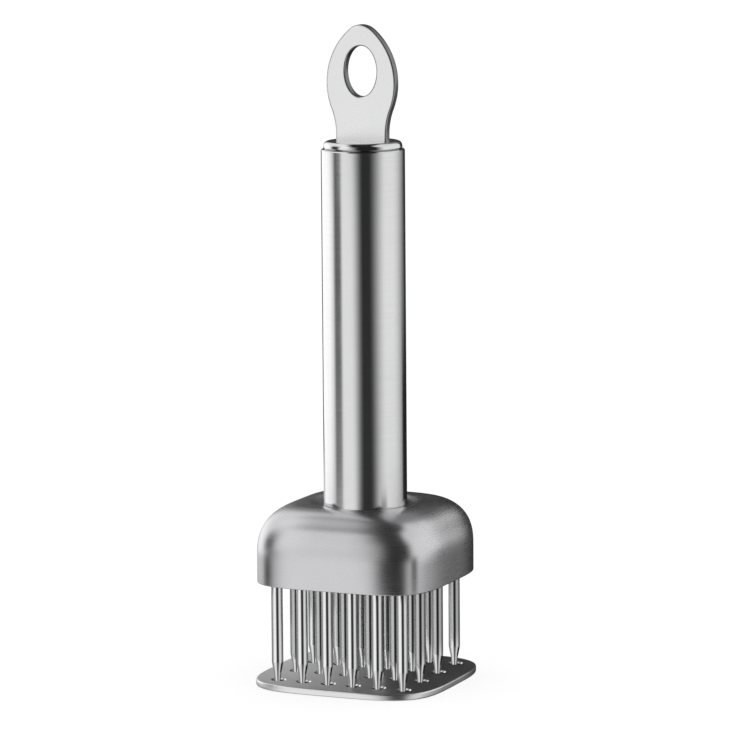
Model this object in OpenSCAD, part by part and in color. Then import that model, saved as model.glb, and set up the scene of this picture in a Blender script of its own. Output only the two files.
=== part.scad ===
// Needle meat tenderizer: a steel handle and square head that carry rows of needles, and a
// sprung guard plate that slides up the needles when the head is pressed down.
// Millimetres. +Z up, +X right across the needle columns, -Y the front.
// The origin is on the underside of the guard plate, below the centre of the handle.

/* [Guard plate] */
// How far the square guard plate stands out past the head on each side
plate_overhang = 0.85; // [0.4:0.05:3]
// Thickness of the guard plate
plate_t = 2; // [1.6:0.1:3]
// Squareness of the plate's outline, 2 is round and higher is squarer
plate_power = 4; // [3.6:0.1:8]
// Diameter of the hole that each needle passes through
guard_hole_d = 4.6; // [4.2:0.1:5.4]
// How far the guard plate slides up towards the head
travel = 25; // [15:0.5:27]

/* [Needles] */
// Number of needle columns across the front
needle_cols = 6; // [4:2:6]
// Number of needle rows from front to back
needle_rows = 4; // [4:2:6]
// Distance from the head's side to the centres of the outer needles
needle_margin = 8.25; // [7.6:0.05:9.5]
// Diameter of a needle
needle_d = 3.5; // [2.8:0.1:3.7]
// Diameter where the gentle cone ends and the ground end begins
needle_ground_d = 2.3; // [2.1:0.05:2.6]
// Diameter of the ground end just above its point
needle_tip_d = 1.7; // [1.2:0.1:1.9]
// Height of the gentle cone from the full diameter to the ground end
needle_cone_h = 3; // [1.5:0.1:4]
// Height of the ground end above its point
needle_ground_h = 2.8; // [2.2:0.1:4]
// Height of the point
needle_point_h = 1.2; // [0.8:0.1:1.5]
// Height of the point above the underside of the guard plate at rest
needle_lift = 0.3; // [0.2:0.1:0.8]
// Diameter of a needle's head
needle_head_d = 5; // [4.5:0.1:5.8]
// Thickness of a needle's head
needle_head_t = 1.2; // [0.8:0.1:1.6]

/* [Head] */
// Width of the square head across its flats
head_w = 57.7; // [56.5:0.1:62]
// Squareness of the head's skirt, 2 is round and higher is squarer
head_power = 4.3; // [4:0.1:8]
// Open height between the guard plate and the rim of the head at rest
head_gap = 29.85; // [29:0.05:36]
// Height of the straight skirt
skirt_h = 8.1; // [7:0.1:12]
// Height of the curved shoulder above the skirt
shoulder_h = 15.2; // [14:0.1:20]
// Width of the shoulder from the head's side in to the round crest
shoulder_w = 10.85; // [9.5:0.05:12.5]
// Depth of the dish that the handle stands in
dish_h = 1.1; // [0.6:0.1:1.4]
// Sheet thickness of the head
head_wall = 1; // [0.8:0.1:1.4]
// How squarely the shoulder leaves the skirt, 2 is an ellipse
shoulder_power_out = 1.8; // [1.6:0.1:2.6]
// How squarely the shoulder meets the crest, 2 is an ellipse
shoulder_power_up = 2.6; // [2.2:0.1:3.2]

/* [Needle carrier] */
// How far the needle plate lies inside the rim
carrier_recess = 2.2; // [2.1:0.1:3.5]
// Thickness of the needle plate
needle_plate_t = 3; // [2.4:0.1:4]
// Thickness of the backing plate over the needle heads
backing_t = 1.5; // [1:0.1:2.5]
// Gap round the guide posts in the slot through both plates
post_slot_gap = 1; // [0.8:0.1:1.4]
// Diameter of the four pillars
pillar_d = 5.6; // [5:0.1:6.4]
// Thickness of the mounting plate under the crest
mount_plate_t = 2; // [1.8:0.1:2.6]
// Width of metal round each pillar on the mounting plate
mount_margin = 0.6; // [0.4:0.1:1]
// Diameter of the pillar screws
pillar_screw_d = 3; // [2.5:0.1:3.2]
// Length of the screws in the top of the pillars, head included
mounting_screw_len = 7; // [5:0.5:8]
// How far the lower screws reach into the pillars
carrier_screw_reach = 4; // [3:0.5:5]

/* [Handle] */
// Outer diameter of the handle tube
tube_d = 25.4; // [24.6:0.1:27]
// Wall thickness of the handle tube
tube_wall = 1; // [0.8:0.1:1.3]
// Length of the handle tube
tube_len = 108.5; // [104:0.1:130]
// Length of the neck bushing inside the handle tube
neck_len = 8; // [6:0.5:12]
// Thickness of the neck bushing's flange
neck_flange_t = 2.5; // [2:0.1:3.5]
// Diameter of the neck bushing's flange
neck_flange_d = 30; // [28:0.1:32]

/* [End cap] */
// Height of the cap's crown above the tube
cap_h = 2.45; // [2:0.05:4]
// How far the crown's side lies inside the outside of the tube
cap_step = 0.75; // [0.4:0.05:0.9]
// Radius of the crown's rounded edge
cap_round_r = 1.5; // [0.6:0.05:1.6]
// Length of the cap's plug inside the tube
plug_len = 14.5; // [13:0.5:20]

/* [Hanging loop] */
// Height of the loop above the cap
loop_h = 35; // [32:0.1:45]
// Greatest width of the loop
loop_w = 22.7; // [21:0.1:26]
// Height of the widest place above the cap
loop_wide_h = 17.5; // [16.5:0.1:20]
// Radius of the loop's tip
loop_tip_r = 5.95; // [4:0.05:8]
// Width of the loop's neck
loop_neck_w = 16.7; // [15.6:0.1:18]
// Height of the straight neck above the cap
loop_neck_h = 2; // [0.5:0.1:4]
// Thickness of the loop
loop_t = 3; // [2.4:0.1:4]
// Width of the hanging hole
loop_hole_w = 10; // [8:0.1:13]
// Height of the hanging hole
loop_hole_h = 15.2; // [12:0.1:18]
// Height of the hanging hole's centre above the cap
loop_hole_z = 21; // [19:0.1:22]
// Width of the tang below the loop
tang_w = 14; // [10:0.1:15]
// Length of the tang inside the cap
tang_len = 10; // [9:0.1:11]
// Diameter of the pin through the tang
loop_pin_d = 3; // [2.5:0.1:4]

/* [Guide posts and spring] */
// Distance between the two guide posts
post_spacing = 8.24; // [7.6:0.02:9.6]
// Diameter of the two guide posts
post_d = 3; // [2.8:0.1:3.4]
// Diameter of the screws in the ends of the posts
post_screw_d = 1.6; // [1.4:0.1:1.8]
// How far those screws reach into the posts
post_screw_reach = 6; // [4:0.5:8]
// Wall of the bushes that the posts slide in
bush_wall = 1; // [0.8:0.1:1.2]
// Width of the bushes' flange
bush_flange_w = 1; // [0.6:0.1:1.2]
// Thickness of the bushes' flange
bush_flange_t = 1; // [0.6:0.1:1.5]
// Thickness of the yoke
yoke_t = 5; // [4.5:0.1:7]
// Depth of the posts' sockets in the yoke
post_socket_h = 3.5; // [2.5:0.1:4]
// Height of the yoke's boss that centres the spring
yoke_boss_h = 1.5; // [1:0.1:2.5]
// Thickness of the buffer washer under the yoke
buffer_t = 1; // [0.6:0.1:2]
// Wire diameter of the return spring
wire_d = 1.6; // [1.2:0.1:1.8]
// Mean diameter of the return spring
spring_d = 18; // [17:0.1:18.8]
// Length of the return spring at rest
spring_len = 60; // [55:0.5:62]
// Turns of the return spring
spring_turns = 10; // [8:1:12]
// Thickness of the spring seat
seat_t = 2; // [1.5:0.1:3]
// Width of the spring seat outside the spring
seat_margin = 0.5; // [0.2:0.1:0.9]
// Diameter of the rod above the spring seat
rod_d = 8; // [6.5:0.1:10]
// Diameter of the stud that holds the rod in the cap
stud_d = 5; // [4:0.1:6]
// Length of the stud
stud_len = 4; // [3:0.1:4.5]
// Diameter of the pilot inside the spring
pilot_d = 12; // [10:0.1:13]
// Gap left between the pilot and the yoke's screws at full travel
pilot_clear = 5; // [2:0.5:12]

/* [Fits] */
// Radial clearance of pieces that are fixed together
fit_gap = 0.05; // [0.02:0.01:0.1]
// Radial clearance of the guide posts in their bushes
slide_gap = 0.05; // [0.03:0.01:0.09]
// Radial clearance round what passes without touching
free_gap = 0.5; // [0.4:0.05:0.7]

/* [Hidden] */
// Straight steps round a squarish outline
outline_steps = 96;
// Straight steps round a ring of the head
ring_steps = 72;
// Steps of the curved shoulder and of the dish
shoulder_steps = 11;
dish_steps = 4;
// Steps of an arc, and round the hanging hole
arc_steps = 14;
hole_steps = 48;
// Steps round one turn of the spring, and sides of its wire
turn_steps = 16;
wire_sides = 6;
// Gap between a closed end turn of the spring and the next turn
end_turn_gap = 0.25;
// How fast the head's squareness fades up the shoulder
fade_power = 0.2;
// How far a cut runs past the face that it opens
over = 1;
// Width and height of a countersunk screw's head, as shares of the screw's diameter
countersink_w = 1.9;
countersink_h = 0.45;

// Heights, from the guard plate up
rim_z = plate_t + head_gap;
shoulder_z = rim_z + skirt_h;
crest_z = shoulder_z + shoulder_h;
foot_z = crest_z - dish_h;
needle_plate_z = rim_z + carrier_recess;
backing_z = needle_plate_z + needle_plate_t;
pillar_z = backing_z + backing_t;
mount_top_z = foot_z - head_wall;
mount_plate_z = mount_top_z - mount_plate_t;
neck_flange_z = mount_plate_z - neck_flange_t;
neck_top_z = foot_z + neck_len;
yoke_z = neck_top_z + buffer_t;
yoke_top_z = yoke_z + yoke_t;
spring_seat_z = yoke_top_z + spring_len;
tube_top_z = foot_z + tube_len;
plug_z = tube_top_z - plug_len;
cap_z = tube_top_z + cap_h;

// Widths that follow the head
plate_w = head_w + 2 * plate_overhang;
crest_r = head_w / 2 - shoulder_w;
needle_span = head_w - 2 * needle_margin;
col_pitch = needle_span / (needle_cols - 1);
row_pitch = needle_span / (needle_rows - 1);

// Handle, and the flat ring that it stands on
tube_id = tube_d - 2 * tube_wall;
foot_margin = 0.3;
plug_d = tube_id - 2 * fit_gap;
cap_base_d = tube_d - 2 * cap_step;
cap_top_d = cap_base_d - 2 * cap_round_r;

// Height of the loop's pin from the cap's top, how far its ends lie inside the plug, and the
// spare depth of the stud's hole and of the posts' screw holes
pin_h = 1.5 * loop_pin_d - tang_len;
pin_inset = 0.75;
stud_spare = 0.2;
hole_spare = 1;

// Guide posts, one on each side of the middle, between the two middle rows
post_x = post_spacing / 2;
bush_bore_d = post_d + 2 * slide_gap;
bush_d = bush_bore_d + 2 * bush_wall;
bush_flange_d = bush_d + 2 * bush_flange_w;
post_top_z = yoke_z + post_socket_h;
post_screw_head_d = 2 * post_screw_d;
post_screw_head_t = 0.7 * post_screw_d;
post_slot_w = post_d + 2 * post_slot_gap;

// Yoke and spring
yoke_d = tube_id - 2 * free_gap;
boss_gap = 0.3;
yoke_boss_d = spring_d - wire_d - 2 * boss_gap;
pilot_len = spring_len - travel - yoke_boss_h - post_screw_head_t - pilot_clear;
seat_d = spring_d + wire_d + 2 * seat_margin;

// Pillars stand in the spaces between the outer needles
pillar_x = (needle_span - col_pitch) / 2;
pillar_y = (needle_span - row_pitch) / 2;
pillar_screw_head_d = 1.8 * pillar_screw_d;
pillar_screw_head_t = 0.6 * pillar_screw_d;

// Names of the needles, row a at the front
row_letters = ["a", "b", "c", "d"];
function needle_name(row, col) = str("needle_", row_letters[row], col + 1);
NEEDLES = [for (row = [0 : needle_rows - 1]) for (col = [0 : needle_cols - 1]) needle_name(row, col)];

$fn = 64;

// Points of a square outline with bulging sides and round corners
function squircle(half, power, steps) = [
    for (i = [0 : steps - 1])
        let (a = 360 * i / steps)
        let (r = half / pow(pow(abs(cos(a)), power) + pow(abs(sin(a)), power), 1 / power))
        [r * cos(a), r * sin(a)]
];

// Points of an arc, ends included
function arc(centre, r, from, to, steps) = [
    for (i = [0 : steps])
        let (a = from + (to - from) * i / steps)
        centre + r * [cos(a), sin(a)]
];

// Points of an ellipse
function ellipse(centre, w, h, steps) = [
    for (i = [0 : steps - 1])
        let (a = 360 * i / steps)
        centre + [w / 2 * cos(a), h / 2 * sin(a)]
];

// Closed tube of triangles through rings that have the same number of points
module ring_tube(rings, closed) {
    count = len(rings);
    n = len(rings[0]);
    points = [for (ring = rings) for (p = ring) p];
    last = closed ? count - 1 : count - 2;
    walls = [
        for (k = [0 : last]) for (i = [0 : n - 1])
            let (a = k * n + i, b = k * n + (i + 1) % n)
            let (c = ((k + 1) % count) * n + (i + 1) % n, d = ((k + 1) % count) * n + i)
            each [[a, c, b], [a, d, c]]
    ];
    end_faces = closed ? [] : [[for (i = [0 : n - 1]) i], [for (i = [n - 1 : -1 : 0]) (count - 1) * n + i]];
    polyhedron(points = points, faces = concat(walls, end_faces));
}

// A flat plate with the head's or guard plate's outline, from height z
module squircle_plate(half, power, z, t) {
    translate([0, 0, z])
        linear_extrude(t)
            polygon(squircle(half, power, outline_steps));
}

// A plain upright cylinder from height z
module rod(d, z, h) {
    translate([0, 0, z])
        cylinder(d = d, h = h);
}

// Copies of a shape at the two guide posts
module at_posts() {
    for (side = [-1, 1])
        translate([side * post_x, 0, 0])
            children();
}

// Copies of a shape at the four pillars
module at_pillars() {
    for (x = [-1, 1], y = [-1, 1])
        translate([x * pillar_x, y * pillar_y, 0])
            children();
}

// Copies of a shape at every needle
module at_needles() {
    for (row = [0 : needle_rows - 1], col = [0 : needle_cols - 1])
        translate(needle_place(row, col))
            children();
}

// Centre of one needle, row 0 at the front and column 0 at the left
function needle_place(row, col) = [
    (col - (needle_cols - 1) / 2) * col_pitch,
    (row - (needle_rows - 1) / 2) * row_pitch,
    0
];

// Guard plate and what slides with it

module guard_plate() {
    color("darkgray")
        difference() {
            squircle_plate(plate_w / 2, plate_power, 0, plate_t);
            at_needles()
                rod(guard_hole_d, -over, plate_t + 2 * over);
            at_posts() {
                rod(post_screw_d + 2 * fit_gap, -over, plate_t + 2 * over);
                countersunk_head(post_screw_d, fit_gap, true);
            }
        }
}

// Cone of a countersunk head with its flat side at height 0, below the cone or above it
module countersunk_head(d, gap, flat_below) {
    rotate([flat_below ? 0 : 180, 0, 0])
        cylinder(d1 = countersink_w * d + 2 * gap, d2 = d + 2 * gap, h = countersink_h * d);
}

module guard_screws() {
    color("gray")
        at_posts() {
            countersunk_head(post_screw_d, 0, true);
            rod(post_screw_d, 0, plate_t + post_screw_reach);
        }
}

module guide_post(side) {
    hole_d = post_screw_d + 2 * fit_gap;
    hole_h = post_screw_reach + hole_spare;
    color("silver")
        translate([side * post_x, 0, 0])
            difference() {
                rod(post_d, plate_t, post_top_z - plate_t);
                rod(hole_d, plate_t - over, hole_h + over);
                rod(hole_d, post_top_z - hole_h, hole_h + over);
            }
}

module post_yoke() {
    color("slategray")
        difference() {
            union() {
                rod(yoke_d, yoke_z, yoke_t);
                rod(yoke_boss_d, yoke_z, yoke_t + yoke_boss_h);
            }
            at_posts() {
                rod(post_d + 2 * fit_gap, yoke_z - over, post_socket_h + over);
                rod(post_screw_d + 2 * fit_gap, yoke_z, yoke_t + yoke_boss_h + over);
            }
        }
}

module yoke_screws() {
    head_z = yoke_top_z + yoke_boss_h;
    end_z = post_top_z - post_screw_reach;
    color("gray")
        at_posts() {
            rod(post_screw_head_d, head_z, post_screw_head_t);
            rod(post_screw_d, end_z, head_z + post_screw_head_t - end_z);
        }
}

// Spring and what holds it in the handle

// Height of the wire's centre after a number of turns, with one closed turn at each end
function coil_z(turn) =
    let (end_pitch = wire_d + end_turn_gap)
    let (body = spring_len - wire_d - 2 * end_pitch)
    let (active = spring_turns - 2)
    wire_d / 2 + (turn < 1 ? end_pitch * turn
        : turn > spring_turns - 1 ? end_pitch + body + end_pitch * (turn - spring_turns + 1)
        : end_pitch + body * (turn - 1) / active);

module return_spring() {
    steps = turn_steps * spring_turns;
    rings = [
        for (k = [0 : steps])
            let (turn = k / turn_steps, a = 360 * turn)
            [for (i = [0 : wire_sides - 1])
                let (b = -360 * i / wire_sides)
                let (r = (spring_d + wire_d * cos(b)) / 2)
                let (up = wire_d / 2 * sin(b) / cos(180 / wire_sides))
                [r * cos(a), r * sin(a), yoke_top_z + coil_z(turn) + up]]
    ];
    color("lightgray")
        ring_tube(rings, false);
}

module spring_rod() {
    color("gray") {
        rod(stud_d, spring_seat_z, plug_z + stud_len - spring_seat_z);
        rod(rod_d, spring_seat_z, plug_z - spring_seat_z);
        rod(seat_d, spring_seat_z, seat_t);
        rod(pilot_d, spring_seat_z - pilot_len, pilot_len + seat_t);
    }
}

module buffer_washer() {
    color("dimgray")
        difference() {
            rod(plug_d, neck_top_z, buffer_t);
            rod(2 * post_x + bush_flange_d, neck_top_z - over, buffer_t + 2 * over);
        }
}

module guide_bush(side) {
    bush_z = neck_flange_z - bush_flange_t;
    bush_len = neck_top_z - bush_z;
    color("ivory")
        translate([side * post_x, 0, 0])
            difference() {
                union() {
                    rod(bush_d, bush_z, bush_len);
                    rod(bush_flange_d, bush_z, bush_flange_t);
                }
                rod(bush_bore_d, bush_z - over, bush_len + 2 * over);
            }
}

// Head and what it holds

// One ring of the head's outer or inner face. s is 0 at the skirt and 1 at the crest.
function shoulder_ring(s, wall) =
    let (a = 90 * s)
    let (out = pow(cos(a), 2 / shoulder_power_out), up = pow(sin(a), 2 / shoulder_power_up))
    let (half = crest_r + (head_w / 2 - wall - crest_r) * out)
    let (power = 2 + (head_power - 2) * pow(out, fade_power))
    let (z = shoulder_z + (shoulder_h - wall) * up)
    [for (p = squircle(half, power, ring_steps)) [p[0], p[1], z]];

// One round ring of the dish, from the crest in to the foot of the handle
function dish_ring(s, wall) =
    let (r = crest_r + (tube_d / 2 + foot_margin - crest_r) * s)
    let (z = crest_z - wall - dish_h * (1 - cos(180 * s)) / 2)
    [for (p = squircle(r, 2, ring_steps)) [p[0], p[1], z]];

// Round ring inside the hole under the handle, which the hole's cut removes
function hole_ring(wall) = [
    for (p = squircle(tube_id / 2 - over, 2, ring_steps)) [p[0], p[1], foot_z - wall]
];

// Rings of one face of the head from the rim up to the dish
function head_rings(wall) = concat(
    [[for (p = squircle(head_w / 2 - wall, head_power, ring_steps)) [p[0], p[1], rim_z]]],
    [for (k = [0 : shoulder_steps]) shoulder_ring(k / shoulder_steps, wall)],
    [for (k = [1 : dish_steps]) dish_ring(k / dish_steps, wall)],
    [hole_ring(wall)]
);

module head_shell() {
    outer = head_rings(0);
    inner = head_rings(head_wall);
    color("silver")
        difference() {
            ring_tube(concat(outer, [for (k = [len(inner) - 1 : -1 : 0]) inner[k]]), true);
            rod(tube_id, foot_z - head_wall - over, head_wall + 2 * over);
        }
}

module neck_bushing() {
    color("slategray")
        difference() {
            union() {
                rod(plug_d, neck_flange_z, neck_top_z - neck_flange_z);
                rod(neck_flange_d, neck_flange_z, neck_flange_t);
            }
            at_posts()
                rod(bush_d + 2 * fit_gap, neck_flange_z - over, neck_top_z - neck_flange_z + 2 * over);
        }
}

module mounting_plate() {
    corner_r = pillar_d / 2 + mount_margin;
    color("lightsteelblue")
        difference() {
            translate([0, 0, mount_plate_z])
                linear_extrude(mount_plate_t) {
                    square([2 * pillar_x + 2 * corner_r, 2 * pillar_y], center = true);
                    square([2 * pillar_x, 2 * pillar_y + 2 * corner_r], center = true);
                    for (x = [-1, 1], y = [-1, 1])
                        translate([x * pillar_x, y * pillar_y])
                            circle(corner_r);
                }
            rod(tube_id, mount_plate_z - over, mount_plate_t + 2 * over);
            at_pillars() {
                rod(pillar_screw_d + 2 * fit_gap, mount_plate_z - over, mount_plate_t + 2 * over);
                translate([0, 0, mount_top_z])
                    countersunk_head(pillar_screw_d, fit_gap, false);
            }
        }
}

module mounting_screws() {
    color("gray")
        at_pillars() {
            translate([0, 0, mount_top_z])
                countersunk_head(pillar_screw_d, 0, false);
            rod(pillar_screw_d, mount_top_z - mounting_screw_len, mounting_screw_len);
        }
}

module pillar(x, y) {
    hole_d = pillar_screw_d + 2 * fit_gap;
    length = mount_plate_z - pillar_z;
    color("gainsboro")
        translate([x * pillar_x, y * pillar_y, 0])
            difference() {
                rod(pillar_d, pillar_z, length);
                rod(hole_d, pillar_z - over, length + 2 * over);
            }
}

module backing_plate() {
    color("lightsteelblue")
        carrier_sheet(backing_z, backing_t);
}

// Outline and through holes that the needle plate and the backing plate share
module carrier_sheet(z, t) {
    difference() {
        squircle_plate(head_w / 2 - head_wall - 2 * fit_gap, head_power, z, t);
        at_pillars()
            rod(pillar_screw_d + 2 * fit_gap, z - over, t + 2 * over);
        at_posts()
            rod(post_slot_w, z - over, t + 2 * over);
        translate([-post_x, -post_slot_w / 2, z - over])
            cube([2 * post_x, post_slot_w, t + 2 * over]);
    }
}

module needle_plate() {
    color("darkgray")
        difference() {
            carrier_sheet(needle_plate_z, needle_plate_t);
            at_needles() {
                rod(needle_d + 2 * fit_gap, needle_plate_z - over, needle_plate_t + 2 * over);
                rod(needle_head_d + 2 * fit_gap, backing_z - needle_head_t, needle_head_t + over);
            }
        }
}

module needle_plate_screws() {
    head_z = needle_plate_z - pillar_screw_head_t;
    color("gray")
        at_pillars() {
            rod(pillar_screw_head_d, head_z, pillar_screw_head_t);
            rod(pillar_screw_d, head_z, pillar_z + carrier_screw_reach - head_z);
        }
}

module needle(row, col) {
    tip_z = needle_lift + needle_point_h;
    cone_z = tip_z + needle_ground_h;
    body_z = cone_z + needle_cone_h;
    head_z = backing_z - needle_head_t;
    color("gainsboro")
        translate(needle_place(row, col))
            rotate_extrude()
                polygon([
                    [0, needle_lift], [needle_tip_d / 2, tip_z], [needle_ground_d / 2, cone_z],
                    [needle_d / 2, body_z], [needle_d / 2, head_z], [needle_head_d / 2, head_z],
                    [needle_head_d / 2, backing_z], [0, backing_z]
                ]);
}

// Handle

module handle_tube() {
    color("silver")
        difference() {
            rod(tube_d, foot_z, tube_len);
            rod(tube_id, foot_z - over, tube_len + 2 * over);
        }
}

module end_cap() {
    slot_w = tang_w + 2 * fit_gap;
    slot_t = loop_t + 2 * fit_gap;
    slot_h = tang_len + fit_gap;
    color("whitesmoke")
        difference() {
            union() {
                rod(plug_d, plug_z, plug_len + cap_h / 2);
                rotate_extrude()
                    polygon(concat(
                        [[0, tube_top_z], [cap_base_d / 2, tube_top_z]],
                        arc([cap_top_d / 2, cap_z - cap_round_r], cap_round_r, 0, 90, arc_steps),
                        [[0, cap_z]]
                    ));
            }
            translate([-slot_w / 2, -slot_t / 2, cap_z - slot_h])
                cube([slot_w, slot_t, slot_h + over]);
            across_plug(loop_pin_d + 2 * fit_gap, plug_d + 2 * over);
            rod(stud_d + 2 * fit_gap, plug_z - over, stud_len + stud_spare + over);
        }
}

// Cylinder from front to back through the plug and the tang
module across_plug(d, length) {
    translate([0, length / 2, cap_z + pin_h])
        rotate([90, 0, 0])
            cylinder(d = d, h = length);
}

module loop_pin() {
    color("gray")
        across_plug(loop_pin_d, plug_d - 2 * pin_inset);
}

module hanging_loop() {
    half = loop_w / 2;
    neck = loop_neck_w / 2;
    rise = loop_h - loop_wide_h;
    drop = loop_wide_h - loop_neck_h;
    side_r = (half * half + rise * rise - 2 * loop_tip_r * rise) / (2 * (half - loop_tip_r));
    side_x = half - side_r;
    tip_angle = atan2(rise - loop_tip_r, -side_x);
    step_in = half - neck;
    centres = (step_in * step_in + drop * drop) / (2 * step_in);
    fillet_r = centres - side_r;
    fillet_angle = acos((centres - step_in) / centres);
    right = concat(
        arc([neck + fillet_r, loop_neck_h], fillet_r, 180, 180 - fillet_angle, arc_steps / 2),
        arc([side_x, loop_wide_h], side_r, -fillet_angle, tip_angle, arc_steps),
        arc([0, loop_h - loop_tip_r], loop_tip_r, tip_angle, 90, arc_steps / 2)
    );
    left = [for (i = [len(right) - 2 : -1 : 0]) [-right[i][0], right[i][1]]];
    base = [[-neck, 0], [-tang_w / 2, 0], [-tang_w / 2, -tang_len], [tang_w / 2, -tang_len],
        [tang_w / 2, 0], [neck, 0]];
    color("gainsboro")
        translate([0, loop_t / 2, cap_z])
            rotate([90, 0, 0])
                difference() {
                    linear_extrude(loop_t)
                        difference() {
                            polygon(concat(base, right, left));
                            polygon(ellipse([0, loop_hole_z], loop_hole_w, loop_hole_h, hole_steps));
                        }
                    translate([0, pin_h, -over])
                        cylinder(d = loop_pin_d + 2 * fit_gap, h = loop_t + 2 * over);
                }
}

for (row = [0 : needle_rows - 1], col = [0 : needle_cols - 1])
    needle(row, col);
guard_plate();
guard_screws();
guide_post(-1);  // guide_post_left
guide_post(1);  // guide_post_right
post_yoke();
yoke_screws();
return_spring();
spring_rod();
buffer_washer();
guide_bush(-1);  // guide_bush_left
guide_bush(1);  // guide_bush_right
head_shell();
neck_bushing();
mounting_plate();
mounting_screws();
pillar(-1, -1);  // pillar_front_left
pillar(1, -1);  // pillar_front_right
pillar(-1, 1);  // pillar_rear_left
pillar(1, 1);  // pillar_rear_right
backing_plate();
needle_plate();
needle_plate_screws();
handle_tube();
end_cap();
hanging_loop();
loop_pin();
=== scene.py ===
"""Studio scene of a needle meat tenderizer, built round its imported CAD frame.

Each class makes the pieces of one sub-assembly with bmesh operators, in millimetres, gives
them their finish and lets them ride on their CAD body.
"""
from __future__ import annotations

import logging
import math
from collections.abc import Iterable, Sequence
from dataclasses import dataclass, field
from enum import Enum

import bmesh
import bpy
from bmesh.types import BMEdge, BMesh, BMVert
from bpy.types import Material, NodeSocket, NodeTree, Object
from mathutils import Matrix, Vector

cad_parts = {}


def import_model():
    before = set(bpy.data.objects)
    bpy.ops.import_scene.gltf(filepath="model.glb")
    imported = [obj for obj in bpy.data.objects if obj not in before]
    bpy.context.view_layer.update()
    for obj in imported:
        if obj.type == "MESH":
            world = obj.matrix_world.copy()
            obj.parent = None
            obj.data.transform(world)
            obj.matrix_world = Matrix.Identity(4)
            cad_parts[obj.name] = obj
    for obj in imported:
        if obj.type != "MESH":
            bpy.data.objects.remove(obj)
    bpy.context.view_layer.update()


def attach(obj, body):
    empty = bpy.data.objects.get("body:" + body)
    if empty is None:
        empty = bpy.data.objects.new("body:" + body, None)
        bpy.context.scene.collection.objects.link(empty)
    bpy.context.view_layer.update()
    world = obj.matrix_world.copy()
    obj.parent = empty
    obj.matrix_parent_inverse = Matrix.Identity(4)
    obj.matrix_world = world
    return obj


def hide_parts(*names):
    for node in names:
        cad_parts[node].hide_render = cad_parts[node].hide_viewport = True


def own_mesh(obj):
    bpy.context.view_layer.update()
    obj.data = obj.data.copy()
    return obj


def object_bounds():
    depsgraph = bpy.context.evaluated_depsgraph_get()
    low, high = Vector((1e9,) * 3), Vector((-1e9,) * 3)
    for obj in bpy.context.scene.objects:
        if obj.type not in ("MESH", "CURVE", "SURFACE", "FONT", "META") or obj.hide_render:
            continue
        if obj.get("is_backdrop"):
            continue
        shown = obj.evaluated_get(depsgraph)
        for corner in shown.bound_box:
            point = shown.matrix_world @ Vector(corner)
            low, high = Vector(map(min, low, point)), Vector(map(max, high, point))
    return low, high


log = logging.getLogger("tenderizer")

MM = 0.001
IMAGE_SIDE = 750
WHITE = (1.0, 1.0, 1.0, 1.0)
# Most values of a noise pattern lie between these
NOISE_LOW, NOISE_HIGH = 0.3, 0.7

Ring = list[Vector]
Station = tuple[float, float]
Place = tuple[float, float]
Span = tuple[float, float]


class Body(Enum):
    """The two CAD bodies that a piece can ride on."""

    HEAD = "head"
    GUARD = "guard"


class Grain(Enum):
    """Which way the fine lines of a worked metal run."""

    ROUND = (False, False, True)
    UPRIGHT = (True, True, False)
    ACROSS = (False, True, True)

    def scale(self, width: float, length: float) -> tuple[float, ...]:
        """Pattern scale per metre for lines of one width and length in millimetres."""
        return tuple(1 / MM / (width if fast else length) for fast in self.value)


def linear(colour: str) -> tuple[float, float, float, float]:
    """Linear RGBA of an sRGB hex colour."""
    parts = [int(colour[i:i + 2], 16) / 255 for i in (1, 3, 5)]
    steps = [c / 12.92 if c <= 0.04045 else ((c + 0.055) / 1.055) ** 2.4 for c in parts]
    return steps[0], steps[1], steps[2], 1.0


def add_node(
    tree: NodeTree,
    kind: str,
    inputs: dict[str | int, object] | None = None,
    **settings: object,
) -> bpy.types.NodeOutputs:
    """Adds one node to a tree.

    Args:
        tree: The node tree of a material or of the world.
        kind: Blender's name of the node type, after the ShaderNode that all begin with.
        inputs: A value, or an output socket to link, for each input by name or number.
        settings: The node's own properties.

    Returns:
        The new node's outputs.
    """
    node = tree.nodes.new("ShaderNode" + kind)
    for key, value in settings.items():
        setattr(node, key, value)
    for key, value in (inputs or {}).items():
        if isinstance(value, NodeSocket):
            tree.links.new(value, node.inputs[key])
        else:
            node.inputs[key].default_value = value
    return node.outputs


def between(
    tree: NodeTree,
    value: NodeSocket,
    share: NodeSocket | float,
    unit: float,
    edges: Span,
    blurs: Span,
) -> NodeSocket:
    """Cuts a mask down to what lies between two soft edges.

    Args:
        tree: The node tree.
        value: What the edges are measured in.
        share: The mask so far.
        unit: The size of the unit that edges and blurs are given in.
        edges: The middle of the lower and of the upper edge.
        blurs: The width of each edge.

    Returns:
        The smaller mask.
    """
    for edge, blur, (low, high) in zip(edges, blurs, ((0.0, 1.0), (1.0, 0.0))):
        mask = add_node(tree, "MapRange", {
            "Value": value,
            "From Min": (edge - blur / 2) * unit,
            "From Max": (edge + blur / 2) * unit,
            "To Min": low,
            "To Max": high,
        }, interpolation_type="SMOOTHSTEP")["Result"]
        share = add_node(tree, "Math", {0: share, 1: mask}, operation="MULTIPLY")[0]
    return share


def blank_material(name: str) -> Material:
    """A new material with an empty node tree."""
    made = bpy.data.materials.new(name)
    made.use_nodes = True
    made.node_tree.nodes.clear()
    return made


def in_scene(name: str, data: bpy.types.ID) -> Object:
    """A new object in the scene's own collection."""
    made = bpy.data.objects.new(name, data)
    bpy.context.scene.collection.objects.link(made)
    return made


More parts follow.
